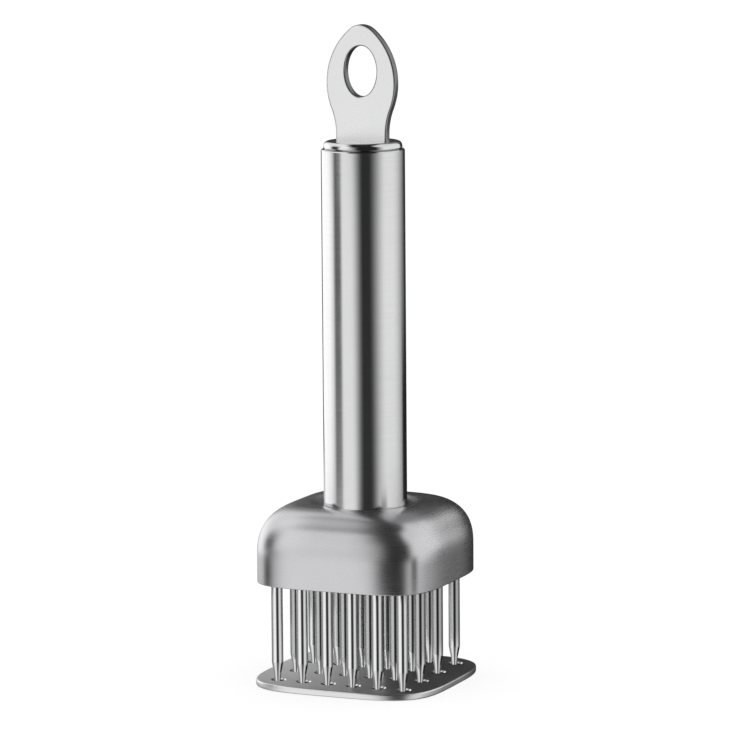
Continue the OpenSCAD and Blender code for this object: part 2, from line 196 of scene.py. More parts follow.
def shaded(tree: NodeTree, share: NodeSocket, colour: str, depth: float) -> NodeSocket:
    """Varies a colour with a pattern.

    Args:
        tree: The material's node tree.
        share: The pattern, 1 where the colour is as given.
        colour: The sRGB hex colour.
        depth: How much darker it is where the pattern is 0.

    Returns:
        The varied colour.
    """
    bright = linear(colour)
    dark = tuple(part * (1 - depth) for part in bright[:3]) + (1.0,)
    return add_node(tree, "Mix", {0: share, 6: dark, 7: bright}, data_type="RGBA")[2]


@dataclass(frozen=True)
class Finish:
    """What every finish has: a name for its material and a slot in the record."""

    name: str
    slot: str

    def material(self) -> Material:
        """The finish as a material, made once."""
        known = bpy.data.materials.get(self.name)
        if known:
            return known
        made = blank_material(self.name)
        shader = self.shader(made.node_tree)
        add_node(made.node_tree, "OutputMaterial", {"Surface": shader})
        return made

    def shader(self, tree: NodeTree) -> NodeSocket:
        """The output that goes to the material's surface."""
        raise NotImplementedError


@dataclass(frozen=True)
class Steel(Finish):
    """Stainless steel whose last working left fine parallel lines.

    The lines darken and roughen it a little and tilt its surface, so a reflection spreads
    across them.
    """

    colour: str
    roughness: float
    grain: Grain
    line_mm: float = 0.3
    line_length_mm: float = 14.0
    line_depth_mm: float = 0.002
    line_shade: float = 0.06
    unevenness: float = 0.03
    clouds_per_mm: float = 0.06

    def shader(self, tree: NodeTree) -> NodeSocket:
        """Builds metal with a line pattern in its colour, roughness and bump.

        Args:
            tree: The material's node tree.

        Returns:
            The shader's output.
        """
        place = add_node(tree, "TexCoord")["Object"]
        stretch = add_node(tree, "Mapping", {
            "Vector": place,
            "Scale": self.grain.scale(self.line_mm, self.line_length_mm),
        })
        lines = add_node(tree, "TexNoise", {
            "Vector": stretch["Vector"], "Scale": 1.0, "Detail": 2.0, "Roughness": 0.6,
        })["Fac"]
        clouds = add_node(tree, "TexNoise", {
            "Vector": place, "Scale": self.clouds_per_mm / MM, "Detail": 2.0, "Roughness": 0.5,
        })["Fac"]
        both = add_node(tree, "Math", {0: lines, 1: clouds}, operation="ADD")
        rough = add_node(tree, "MapRange", {
            "Value": both[0], "From Min": 2 * NOISE_LOW, "From Max": 2 * NOISE_HIGH,
            "To Min": max(self.roughness - self.unevenness, 0.01),
            "To Max": self.roughness + self.unevenness,
        })
        bump = add_node(tree, "Bump", {
            "Height": lines, "Strength": 1.0, "Distance": self.line_depth_mm * MM,
        })
        return add_node(tree, "BsdfPrincipled", {
            "Base Color": self.tint(tree, place, lines),
            "Metallic": 1.0,
            "Roughness": rough["Result"],
            "Normal": bump["Normal"],
        })["BSDF"]

    def tint(self, tree: NodeTree, place: NodeSocket, lines: NodeSocket) -> NodeSocket:
        """Darkens the steel's colour in its lines.

        Args:
            tree: The material's node tree.
            place: The place on the piece, which a steel with a painted shade band reads.
            lines: The line pattern.

        Returns:
            The varied colour.
        """
        shade = add_node(tree, "MapRange", {
            "Value": lines, "From Min": NOISE_LOW, "From Max": NOISE_HIGH,
        })
        return shaded(tree, shade["Result"], self.colour, self.line_shade)


@dataclass(frozen=True)
class PaintedShadeSteel(Steel):
    """Steel painted darker in a band across it, as painted shade: the cap's seam under its crown,
    the loop's side walls and the guard plate's needle holes.
    """

    shade_colour: str = "#808082"
    band_axis: int = 1
    band_middle_mm: float = 0.0
    band_half_mm: float = 1.47
    band_fade_mm: float = 0.3
    within_mm: float = 100.0

    def tint(self, tree: NodeTree, place: NodeSocket, lines: NodeSocket) -> NodeSocket:
        """Paints shade into the colour in the band as well, near the piece's axis only.

        Args:
            tree: The material's node tree.
            place: The place on the piece.
            lines: The line pattern.

        Returns:
            The varied colour.
        """
        face = super().tint(tree, place, lines)
        axes = add_node(tree, "SeparateXYZ", {0: place})
        off = [
            add_node(tree, "Math", {0: axis, 1: middle}, operation="SUBTRACT")
            for axis, middle in (
                (axes[self.band_axis], self.band_middle_mm * MM), (axes[0], 0.0), (axes[1], 0.0))
        ]
        depth, x, y = (
            add_node(tree, "Math", {0: node[0]}, operation="ABSOLUTE")[0]
            for node in off
        )
        aside = add_node(tree, "Math", {0: x, 1: y}, operation="MAXIMUM")[0]
        share = add_node(tree, "MapRange", {
            "Value": depth,
            "From Min": (self.band_half_mm - self.band_fade_mm) * MM,
            "From Max": self.band_half_mm * MM,
        })["Result"]
        reach = self.within_mm * MM
        outside = add_node(tree, "Math", {0: aside, 1: reach}, operation="GREATER_THAN")[0]
        plain = add_node(tree, "Math", {0: share, 1: outside}, operation="MAXIMUM")[0]
        # The band's darker colour is painted shade, not a duller finish
        painted_shade_rgba = linear(self.shade_colour)
        return add_node(tree, "Mix", {0: plain, 6: painted_shade_rgba, 7: face}, data_type="RGBA")[2]


@dataclass(frozen=True)
class Moulded(Finish):
    """A moulded polymer or rubber with a fine matt skin."""

    colour: str
    roughness: float
    skin_mm: float = 0.25
    skin_depth_mm: float = 0.01
    skin_shade: float = 0.06
    bump: float = 0.6
    unevenness: float = 0.08

    def shader(self, tree: NodeTree) -> NodeSocket:
        """Builds plastic with a speckled roughness and a fine bump.

        Args:
            tree: The material's node tree.

        Returns:
            The shader's output.
        """
        place = add_node(tree, "TexCoord")["Object"]
        skin = add_node(tree, "TexNoise", {
            "Vector": place, "Scale": 1 / (self.skin_mm * MM), "Detail": 3.0,
        })["Fac"]
        rough = add_node(tree, "MapRange", {
            "Value": skin, "To Min": self.roughness - self.unevenness,
            "To Max": self.roughness + self.unevenness,
        })
        colour = shaded(tree, skin, self.colour, self.skin_shade)
        bump = add_node(tree, "Bump", {
            "Height": skin, "Strength": self.bump, "Distance": self.skin_depth_mm * MM,
        })
        return add_node(tree, "BsdfPrincipled", {
            "Base Color": colour,
            "Roughness": rough["Result"],
            "Normal": bump["Normal"],
        })["BSDF"]


# Satin tube: belted round its axis, so lines run round it and bands of light stay upright
TUBE_STEEL = Steel("satin_tube_steel", "handle_steel", "#DADADB", 0.12, Grain.ROUND)
# Pressed head, brushed level: soft reflections with level lines
HEAD_STEEL = Steel(
    "brushed_head_steel", "head_steel", "#CECDCF", 0.28, Grain.ROUND, line_depth_mm=0.0007,
    line_shade=0.03,
)
# Turned cap: its crown is polished close to a mirror; the neck under it is painted dark, as
# painted shade in the seam under the crown's overhang
CAP_STEEL = PaintedShadeSteel(
    "polished_cap_steel", "cap_steel", "#DCDCDD", 0.07, Grain.ROUND, line_depth_mm=0.0005,
    line_shade=0.03, unevenness=0.02, shade_colour="#87878A", band_axis=2, band_middle_mm=155.0,
    band_half_mm=8.05, band_fade_mm=0.1,
)
# Blanked and tumbled loop: an even light satin, with its side walls painted darker as painted
# shade for the darker reflection that they show
LOOP_STEEL = PaintedShadeSteel(
    "tumbled_loop_steel", "loop_steel", "#E9E9EA", 0.28, Grain.UPRIGHT, line_mm=0.5,
    line_length_mm=5.0, line_depth_mm=0.0002, line_shade=0.015,
)
# Ground and polished needles: thin bright bands along them
NEEDLE_STEEL = Steel(
    "polished_needle_steel", "needle_steel", "#E4E4E5", 0.08, Grain.ROUND, line_mm=0.4,
    line_depth_mm=0.0005, line_shade=0.04, unevenness=0.02,
)
# Stamped guard plate, brushed from side to side; the walls of its needle holes are painted near
# black, as painted shade in the holes
PLATE_STEEL = PaintedShadeSteel(
    "brushed_plate_steel", "guard_steel", "#E6E6E7", 0.3, Grain.ACROSS, line_shade=0.08,
    shade_colour="#161617", band_axis=2, band_middle_mm=1.0, band_half_mm=0.5,
    band_fade_mm=0.1, within_mm=24.0,
)
# Ground posts: smooth and bright
POST_STEEL = Steel(
    "ground_post_steel", "post_steel", "#D6D6D7", 0.1, Grain.ROUND, line_mm=0.25,
    line_depth_mm=0.0005,
)
# Turned and sawn inner parts: duller, with wider tool marks
INNER_STEEL = Steel(
    "turned_inner_steel", "inner_steel", "#BDBDBF", 0.3, Grain.ROUND, line_mm=0.4,
)
# Plain machine screws and pin
SCREW_STEEL = Steel(
    "plain_screw_steel", "fastener_steel", "#C2C2C4", 0.25, Grain.ROUND, line_mm=0.25,
)
# Drawn spring wire: darker, with marks along the wire's way round
WIRE_STEEL = Steel(
    "drawn_spring_wire", "spring_steel", "#B4B4B8", 0.22, Grain.ROUND, line_mm=0.2,
)
# Acetal bushes: cream, slightly waxy
BUSH_POLYMER = Moulded("acetal_bush", "bush_polymer", "#E9E6DD", 0.45)
# Nitrile washer: black and matt
BUFFER_RUBBER = Moulded("nitrile_buffer", "buffer_rubber", "#222223", 0.8)


def circle(radius: float, z: float, steps: int = 48, x: float = 0.0, y: float = 0.0) -> Ring:
    """Points of a level circle."""
    turn = math.tau / steps
    return [Vector((x + radius * math.cos(turn * i), y + radius * math.sin(turn * i), z))
            for i in range(steps)]


def squircle(half: float, power: float, z: float, steps: int) -> Ring:
    """Points of a level square with bulging sides and round corners.

    Args:
        half: Half the width across the flats.
        power: Squareness, 2 is round and higher is squarer.
        z: Height.
        steps: Number of points.

    Returns:
        The points, counted round from the right.
    """
    points = []
    for i in range(steps):
        c, s = math.cos(math.tau * i / steps), math.sin(math.tau * i / steps)
        radius = half / (abs(c) ** power + abs(s) ** power) ** (1 / power)
        points.append(Vector((radius * c, radius * s, z)))
    return points


def rounded_box(half_x: float, half_y: float, corner: float, z: float, steps: int = 8) -> Ring:
    """Points of a level rectangle with round corners.

    Args:
        half_x: Half its width.
        half_y: Half its depth.
        corner: Radius of its corners.
        z: Height.
        steps: Number of steps of each corner.

    Returns:
        The points, counted round from the right.
    """
    points = []
    for quarter in range(4):
        sign_x = 1 if quarter in (0, 3) else -1
        sign_y = 1 if quarter in (0, 1) else -1
        for i in range(steps + 1):
            angle = math.pi / 2 * (quarter + i / steps)
            points.append(Vector((
                sign_x * (half_x - corner) + corner * math.cos(angle),
                sign_y * (half_y - corner) + corner * math.sin(angle),
                z,
            )))
    return points


def eased(size: float, low: float, high: float, ease: float, steps: int = 3) -> list[Station]:
    """Stations up a straight side whose two edges are rounded.

    Args:
        size: Radius or half width of the side.
        low: Height of the lower face.
        high: Height of the upper face.
        ease: Radius of the edges, negative for a hole.
        steps: Steps of each rounded edge.

    Returns:
        Size and height of each station, from the lower face to the upper one.
    """
    height = abs(ease)
    lower = []
    for i in range(steps + 1):
        angle = math.pi / 2 * i / steps
        lower.append((size - ease * (1 - math.sin(angle)), height * (1 - math.cos(angle))))
    return [(s, low + h) for s, h in lower] + [(s, high - h) for s, h in reversed(lower)]


def turned(stations: Iterable[Station], steps: int, x: float = 0.0, y: float = 0.0) -> list[Ring]:
    """Level circles through stations, one above the other."""
    return [circle(radius, z, steps, x, y) for radius, z in stations]


def squared(stations: Iterable[Station], power: float, steps: int) -> list[Ring]:
    """Level squircles through stations, one above the other."""
    return [squircle(half, power, z, steps) for half, z in stations]


class Workpiece:
    """A piece on the bench: a bmesh in millimetres until it is handed over."""

    SHARP_ANGLE = math.radians(38)
    EDGE_SEGMENTS = 4
    WELD_MM = 1e-4

    def __init__(self) -> None:
        """Starts with nothing."""
        self.mesh = bmesh.new()

    def ring(self, points: Ring) -> list[BMVert]:
        """Starts a closed ring of edges.

        Args:
            points: The points that it goes through, in order.

        Returns:
            Its vertices in the same order.
        """
        made = bmesh.ops.create_circle(
            self.mesh, cap_ends=False, segments=len(points), radius=1.0,
        )["verts"]
        for vertex, point in zip(made, points):
            vertex.co = point
        return made

    def grow(self, ring: Sequence[BMVert], points: Ring) -> list[BMVert]:
        """Extrudes a ring and puts the new one on points.

        Args:
            ring: The ring's vertices in order.
            points: Where the new ring goes, in the same order.

        Returns:
            The new ring's vertices in order.
        """
        made = bmesh.ops.extrude_edge_only(self.mesh, edges=self.edges(ring))["geom"]
        fresh = {part for part in made if isinstance(part, BMVert)}
        grown = []
        for vertex, point in zip(ring, points):
            grown.append(next(
                edge.other_vert(vertex) for edge in vertex.link_edges
                if edge.other_vert(vertex) in fresh
            ))
            grown[-1].co = point
        return grown

    def edges(self, ring: Sequence[BMVert]) -> list[BMEdge]:
        """The edges of a closed ring."""
        return [self.mesh.edges.get((ring[i - 1], ring[i])) for i in range(len(ring))]

    def stack(self, rings: Sequence[Ring]) -> tuple[list[BMVert], list[BMVert]]:
        """Builds a wall through rings.

        Args:
            rings: The points of each ring, from one end of the wall to the other.

        Returns:
            The vertices of its first and of its last ring.
        """
        first = last = self.ring(rings[0])
        for points in rings[1:]:
            last = self.grow(last, points)
        return first, last

    def fill(self, rings: Iterable[Sequence[BMVert]]) -> None:
        """Fills the flat face between an outer ring and the rings inside it."""
        edges = [edge for ring in rings for edge in self.edges(ring)]
        bmesh.ops.triangle_fill(self.mesh, use_beauty=True, use_dissolve=False, edges=edges)

    def block(
        self,
        side: Sequence[Ring],
        through: Sequence[Sequence[Ring]] = (),
        from_top: Sequence[Sequence[Ring]] = (),
        from_bottom: Sequence[Sequence[Ring]] = (),
    ) -> Workpiece:
        """Builds a block with flat ends and holes.

        Args:
            side: Rings of the outer wall from the bottom up.
            through: For each hole right through, its rings from the bottom up.
            from_top: For each blind hole in the top, its rings from the top down.
            from_bottom: For each blind hole in the bottom, its rings from the bottom up.

        Returns:
            The workpiece.
        """
        low, high = self.stack(side)
        bottoms, tops = [low], [high]
        for rings in through:
            first, last = self.stack(rings)
            bottoms.append(first)
            tops.append(last)
        for mouths, holes in ((tops, from_top), (bottoms, from_bottom)):
            for rings in holes:
                mouth, end = self.stack(rings)
                mouths.append(mouth)
                self.fill([end])
        self.fill(bottoms)
        self.fill(tops)
        return self

    def lathe(
        self,
        outline: Sequence[Station],
        steps: int,
        closed: bool = False,
        corners: dict[int, float] | None = None,
    ) -> Workpiece:
        """Turns an outline round the upright axis.

        Args:
            outline: Radius and height of each point, from one end of the axis to the other.
            steps: Number of steps of the full turn.
            closed: Whether the outline's last point joins its first.
            corners: Distance from a point at which its rounding starts, by the point's index.

        Returns:
            The workpiece.
        """
        points = [self.mesh.verts.new((radius, 0.0, z)) for radius, z in outline]
        pairs = list(zip(points, points[1:])) + ([(points[-1], points[0])] if closed else [])
        for pair in pairs:
            self.mesh.edges.new(pair)
        for index, start in (corners or {}).items():
            bmesh.ops.bevel(
                self.mesh, geom=[points[index]], offset=start, offset_type="OFFSET",
                segments=self.EDGE_SEGMENTS, profile=0.5, affect="VERTICES", material=-1,
            )
        bmesh.ops.spin(
            self.mesh, geom=self.mesh.verts[:] + self.mesh.edges[:], cent=(0, 0, 0),
            axis=(0, 0, 1), dvec=(0, 0, 0), angle=math.tau, steps=steps, use_merge=True,
            use_duplicate=False,
        )
        bmesh.ops.remove_doubles(self.mesh, verts=self.mesh.verts[:], dist=self.WELD_MM)
        return self

    def move(self, x: float, y: float, z: float = 0.0) -> Workpiece:
        """Shifts the whole piece."""
        bmesh.ops.translate(self.mesh, verts=self.mesh.verts[:], vec=(x, y, z))
        return self

    def turn(self, matrix: Matrix) -> Workpiece:
        """Turns the whole piece about the origin."""
        bmesh.ops.rotate(self.mesh, verts=self.mesh.verts[:], cent=(0, 0, 0), matrix=matrix)
        return self

    def add(self, other: Workpiece) -> Workpiece:
        """Takes in another workpiece as a separate solid of the same piece.

        Args:
            other: The other workpiece, which is used up.

        Returns:
            This workpiece.
        """
        spare = bpy.data.meshes.new("spare")
        other.mesh.to_mesh(spare)
        self.mesh.from_mesh(spare)
        other.mesh.free()
        bpy.data.meshes.remove(spare)
        return self

    def hand_over(self, node: str, finish: Finish, body: Body = Body.HEAD) -> Object:
        """Makes the Blender object that stands for a CAD node.

        Args:
            node: The CAD node's name.
            finish: What the piece is made of.
            body: The CAD body that it rides on.

        Returns:
            The new object, at the origin, with its place in its mesh.
        """
        bmesh.ops.recalc_face_normals(self.mesh, faces=self.mesh.faces[:])
        bmesh.ops.scale(self.mesh, vec=(MM, MM, MM), verts=self.mesh.verts[:])
        for face in self.mesh.faces:
            face.smooth = True
        for edge in self.mesh.edges:
            edge.smooth = edge.calc_face_angle(0.0) < self.SHARP_ANGLE
        data = bpy.data.meshes.new(node + "_finished")
        self.mesh.to_mesh(data)
        self.mesh.free()
        data.materials.append(finish.material())
        piece = in_scene(node + "_finished", data)
        weighted = piece.modifiers.new("even_shading", "WEIGHTED_NORMAL")
        weighted.keep_sharp = True
        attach(piece, body.value)
        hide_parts(node)
        log.info("%s: %d faces on %s", piece.name, len(data.polygons), body.value)
        return piece


def cut(piece: Object, tool: Object) -> None:
    """Takes one finished piece's solid out of another, for a hole that it fills.

    Args:
        piece: The piece that gets the hole.
        tool: The piece that fills it.
    """
    boolean = piece.modifiers.new("hole", "BOOLEAN")
    boolean.object = tool
    boolean.operation = "DIFFERENCE"
    boolean.solver = "EXACT"
    bpy.context.view_layer.update()
    graph = bpy.context.evaluated_depsgraph_get()
    result = bpy.data.meshes.new_from_object(piece.evaluated_get(graph))
    piece.modifiers.remove(boolean)
    result.name = piece.data.name
    piece.data = result


@dataclass(frozen=True)
class Layout:
    """Places and sizes that more than one sub-assembly uses."""

    columns: int = 6
    rows: int = 4
    half_span: float = 20.6
    head_power: float = 4.3
    tube_bore: float = 11.7
    plug_radius: float = 11.65
    clearance: float = 0.05
    mount_z: float = 51.05
    yoke_z: float = 63.05
    spring_z: float = 68.05
    cap_plug_z: float = 148.05

    def needles(self) -> dict[str, Place]:
        """Centre of each needle by its name, row a in front and column 1 at the left."""
        return {
            f"needle_{'abcd'[row]}{column + 1}": (
                self.half_span * (2 * column / (self.columns - 1) - 1),
                self.half_span * (2 * row / (self.rows - 1) - 1),
            )
            for row in range(self.rows) for column in range(self.columns)
        }

    @property
    def post_x(self) -> float:
        """How far each guide post stands from the middle, in line with a column."""
        return self.half_span / (self.columns - 1)

    def posts(self) -> dict[str, Place]:
        """Centre of each guide post by its side."""
        return {"left": (-self.post_x, 0.0), "right": (self.post_x, 0.0)}

    @property
    def pillar(self) -> Place:
        """Centre of the rear right pillar, between the last two rows and columns."""
        return (self.half_span * (1 - 1 / (self.columns - 1)),
                self.half_span * (1 - 1 / (self.rows - 1)))

    def pillars(self) -> dict[str, Place]:
        """Centre of each pillar by its corner."""
        x, y = self.pillar
        return {"front_left": (-x, -y), "front_right": (x, -y),
                "rear_left": (-x, y), "rear_right": (x, y)}


@dataclass
class Assembly:
    """What every sub-assembly has: the layout that it shares with the others."""

    layout: Layout = Layout()

    def build(self) -> None:
        """Makes the pieces."""
        raise NotImplementedError


@dataclass(frozen=True)
class Screw:
    """A machine screw with a hexagon socket, standing on its tip at height zero."""

    diameter: float
    length: float
    head_diameter: float
    head_height: float
    countersunk: bool
    socket_width: float
    socket_depth: float
    socket_edge: float = 0.06
    head_edge: float = 0.2
    tip_share: float = 0.15

    def build(self) -> Workpiece:
        """The screw upright, with its head on top."""
        shank, head = self.diameter / 2, self.head_diameter / 2
        top, shoulder = self.length, self.length - self.head_height
        tip = self.tip_share * self.diameter
        side = [(shank - tip, 0.0), (shank, tip), (shank, shoulder)]
        side += [(head, top)] if self.countersunk else eased(head, shoulder, top, self.head_edge)
        socket, edge = self.socket_width / 2, self.socket_edge
        drive = turned(
            ((socket + edge, top), (socket, top - edge), (socket, top - self.socket_depth)), 36)
        for ring in drive:
            self.flatten(ring)
        return Workpiece().block(turned(side, 40), from_top=[drive])

    @staticmethod
    def flatten(ring: Ring) -> None:
        """Turns a circle's points into those of a hexagon of the same width."""
        for point in ring:
            angle = math.atan2(point.y, point.x) % (math.pi / 3) - math.pi / 6
            point.x, point.y = point.x / math.cos(angle), point.y / math.cos(angle)

    def fasten(self, places: Iterable[Place], end_z: float, upright: bool = True) -> Workpiece:
        """Sets one screw in each place, all as one piece.

        Args:
            places: Where the screws go, seen from above.
            end_z: Height of the outer face of their heads.
            upright: Whether their heads are on top.

        Returns:
            The screws.
        """
        group = Workpiece()
        for x, y in places:
            screw = self.build()
            if upright:
                screw.move(x, y, end_z - self.length)
            else:
                screw.turn(Matrix.Rotation(math.pi, 3, "X")).move(x, y, end_z + self.length)
            group.add(screw)
        return group


# Down through the mounting plate into the pillars
M3_SUNK = Screw(
    diameter=3.0, length=7.0, head_diameter=5.7, head_height=1.35, countersunk=True,
    socket_width=2.0, socket_depth=1.1,
)
# Up through the needle plate and its backing into the pillars
M3_PAN = Screw(
    diameter=3.0, length=10.3, head_diameter=5.4, head_height=1.8, countersunk=False,
    socket_width=2.5, socket_depth=1.2,
)
# Up through the guard plate into the posts
SMALL_SUNK = Screw(
    diameter=1.6, length=8.0, head_diameter=3.04, head_height=0.72, countersunk=True,
    socket_width=0.9, socket_depth=0.6,
)
# Down through the yoke into the posts
SMALL_PAN = Screw(
    diameter=1.6, length=10.12, head_diameter=3.2, head_height=1.12, countersunk=False,
    socket_width=1.3, socket_depth=0.6,
)


@dataclass
class Handle(Assembly):
    """Tube, end cap and hanging loop."""

    tube_radius: float = 12.7
    foot_z: float = 54.05
    tube_top_z: float = 162.55
    edge: float = 0.25
    chamfer: float = 0.3
    cap_radius: float = 11.95
    cap_flat_radius: float = 10.45
    cap_round: float = 1.5
    cap_round_steps: int = 8
    cap_ease: float = 0.08
    cap_z: float = 165.0
    plug_chamfer: float = 0.4
    seam: float = 0.45
    slot_half: tuple[float, float] = (7.05, 1.55)
    slot_corner: float = 0.2
    slot_z: float = 154.95
    stud_bore: tuple[float, float] = (2.55, 4.2)
    loop_height: float = 35.0
    loop_half: float = 11.35
    loop_wide_z: float = 17.5
    loop_tip: float = 5.95
    neck_half: float = 8.35
    neck_z: float = 2.0
    loop_thickness: float = 3.0
    loop_edge: float = 0.7
    loop_steps: tuple[int, int, int] = (12, 36, 14)
    rim_angle: float = 1.2
    hole_half: tuple[float, float] = (5.0, 7.6)
    hole_z: float = 21.0
    hole_steps: int = 32
    tang_half: float = 7.0
    tang_length: float = 10.0
    pin_radius: float = 1.5
    pin_half: float = 10.9
    pin_edge: float = 0.3
    pin_z: float = -5.5
    steps: int = 128

    def build(self) -> None:
        """Makes the four pieces."""
        self.tube().hand_over("handle_tube", TUBE_STEEL)
        cap = self.cap().hand_over("end_cap", CAP_STEEL)
        loop = self.loop().hand_over("hanging_loop", LOOP_STEEL)
        pin = self.pin().hand_over("loop_pin", SCREW_STEEL)
        cut(cap, pin)
        cut(loop, pin)

    def tube(self) -> Workpiece:
        """A drawn tube, rounded at its foot and chamfered under the cap."""
        bore = self.layout.tube_bore
        outline = [
            (bore, self.foot_z), (self.tube_radius, self.foot_z),
            (self.tube_radius, self.tube_top_z - self.chamfer),
            (self.tube_radius - self.chamfer, self.tube_top_z),
            (bore, self.tube_top_z),
        ]
        return Workpiece().lathe(outline, self.steps, closed=True, corners={1: self.edge})

    def cap(self) -> Workpiece:
        """The crown with its rounded edge, its seam groove and the slotted plug."""
        plug, low = self.layout.plug_radius, self.layout.cap_plug_z
        seam_z = self.tube_top_z + self.seam
        stations = [
            (plug - self.plug_chamfer, low), (plug, low + self.plug_chamfer), (plug, seam_z),
            (self.cap_radius - self.cap_ease, seam_z), (self.cap_radius, seam_z + self.cap_ease),
        ]
        for i in range(self.cap_round_steps + 1):
            angle = math.pi / 2 * i / self.cap_round_steps
            stations.append((
                self.cap_flat_radius + self.cap_round * math.cos(angle),
                self.cap_z - self.cap_round * (1 - math.sin(angle)),
            ))
        half_x, half_y = self.slot_half
        slot = [rounded_box(half_x, half_y, self.slot_corner, z, 3)
                for z in (self.cap_z, self.slot_z)]
        bore, depth = self.stud_bore
        stud = turned(((bore, low), (bore, low + depth)), 32)
        return Workpiece().block(turned(stations, self.steps), from_top=[slot], from_bottom=[stud])

    def loop(self) -> Workpiece:
        """The flat loop: half its outline is drawn with arcs, mirrored and thickened."""
        piece = Workpiece()
        bm = piece.mesh
        start, end = self.half_outline(bm)
        hole_start, hole_end = self.half_hole(bm)
        bm.edges.new((end, hole_start))
        bm.edges.new((hole_end, start))
        bmesh.ops.contextual_create(bm, geom=bm.edges[:])
        bmesh.ops.mirror(bm, geom=bm.verts[:] + bm.edges[:] + bm.faces[:], axis="X",
                         merge_dist=piece.WELD_MM)
        bmesh.ops.remove_doubles(bm, verts=bm.verts[:], dist=piece.WELD_MM)
        bmesh.ops.recalc_face_normals(bm, faces=bm.faces[:])
        raised = bmesh.ops.extrude_face_region(bm, geom=bm.faces[:])["geom"]
        top = [part for part in raised if isinstance(part, BMVert)]
        bmesh.ops.translate(bm, verts=top, vec=(0, self.loop_thickness, 0))
        # The edges of both faces, above the cap
        rims = [edge for edge in bm.edges
                if edge.is_manifold and edge.calc_face_angle() > self.rim_angle
                and abs(edge.verts[0].co.y - edge.verts[1].co.y) < self.loop_thickness / 2
                and sum(vertex.co.z for vertex in edge.verts) > 0.1]
        bmesh.ops.bevel(
            bm, geom=rims, offset=self.loop_edge, offset_type="OFFSET",
            segments=piece.EDGE_SEGMENTS, profile=0.5, affect="EDGES", material=-1,
        )
        return piece.move(0, -self.loop_thickness / 2, self.cap_z)

    def half_outline(self, bm: BMesh) -> tuple[BMVert, BMVert]:
        """Draws the right half of the loop's outline, its tang and three touching arcs.

        Args:
            bm: The mesh that it is drawn in.

        Returns:
            Its first vertex, under the tang, and its last, at the tip.
        """
        rise = self.loop_height - self.loop_wide_z
        side = (self.loop_half ** 2 + rise ** 2 - 2 * self.loop_tip * rise) / (
            2 * (self.loop_half - self.loop_tip))
        side_x = self.loop_half - side
        step_in = self.loop_half - self.neck_half
        drop = self.loop_wide_z - self.neck_z
        centres = (step_in ** 2 + drop ** 2) / (2 * step_in)
        fillet = centres - side
        fillet_angle = math.acos((centres - step_in) / centres)
        tip_angle = math.atan2(rise - self.loop_tip, -side_x)
        corners = [(0, -self.tang_length), (self.tang_half, -self.tang_length),
                   (self.tang_half, 0), (self.neck_half, 0), (self.neck_half, self.neck_z)]
        chain = [bm.verts.new((x, 0, z)) for x, z in corners]
        for pair in zip(chain, chain[1:]):
            bm.edges.new(pair)
        arcs = (
            ((self.neck_half + fillet, self.neck_z), fillet_angle),
            ((side_x, self.loop_wide_z), -(fillet_angle + tip_angle)),
            ((0, self.loop_height - self.loop_tip), -(math.pi / 2 - tip_angle)),
        )
        end = chain[-1]
        for (centre, angle), steps in zip(arcs, self.loop_steps):
            end = self.arc(bm, end, centre, angle, steps)
        return chain[0], end

    def half_hole(self, bm: BMesh) -> tuple[BMVert, BMVert]:
        """Draws the right half of the hanging hole, a half circle stretched upright.

        Args:
            bm: The mesh that it is drawn in.

        Returns:
            Its top and its bottom vertex.
        """
        half_x, half_z = self.hole_half
        top = bm.verts.new((0, 0, half_x))
        bottom = self.arc(bm, top, (0, 0), math.pi, self.hole_steps)
        rim = [top]
        while rim[-1] is not bottom:
            rim.append(next(
                edge.other_vert(rim[-1]) for edge in rim[-1].link_edges
                if edge.other_vert(rim[-1]) not in rim
            ))
        for vertex in rim:
            vertex.co.z = self.hole_z + vertex.co.z * half_z / half_x
        return top, bottom

    @staticmethod
    def arc(bm: BMesh, start: BMVert, centre: Place, angle: float, steps: int) -> BMVert:
        """Draws an arc in the plane that faces front.

        Args:
            bm: The mesh that the arc is drawn in.
            start: The vertex that it starts from.
            centre: Its centre, right and up.
            angle: How far it turns, seen from the front, clockwise if positive.
            steps: Its number of edges.

        Returns:
            The arc's last vertex.
        """
        made = bmesh.ops.spin(
            bm, geom=[start], cent=(centre[0], 0, centre[1]), axis=(0, 1, 0), dvec=(0, 0, 0),
            angle=angle, steps=steps, use_merge=False, use_duplicate=False,
        )
        return next(part for part in made["geom_last"] if isinstance(part, BMVert))

    def pin(self) -> Workpiece:
        """The plain pin through the plug and the tang."""
        outline = [(0, -self.pin_half), (self.pin_radius, -self.pin_half),
                   (self.pin_radius, self.pin_half), (0, self.pin_half)]
        piece = Workpiece().lathe(outline, 40, corners={1: self.pin_edge, 2: self.pin_edge})
        return piece.turn(Matrix.Rotation(math.pi / 2, 3, "X")).move(0, 0, self.cap_z + self.pin_z)


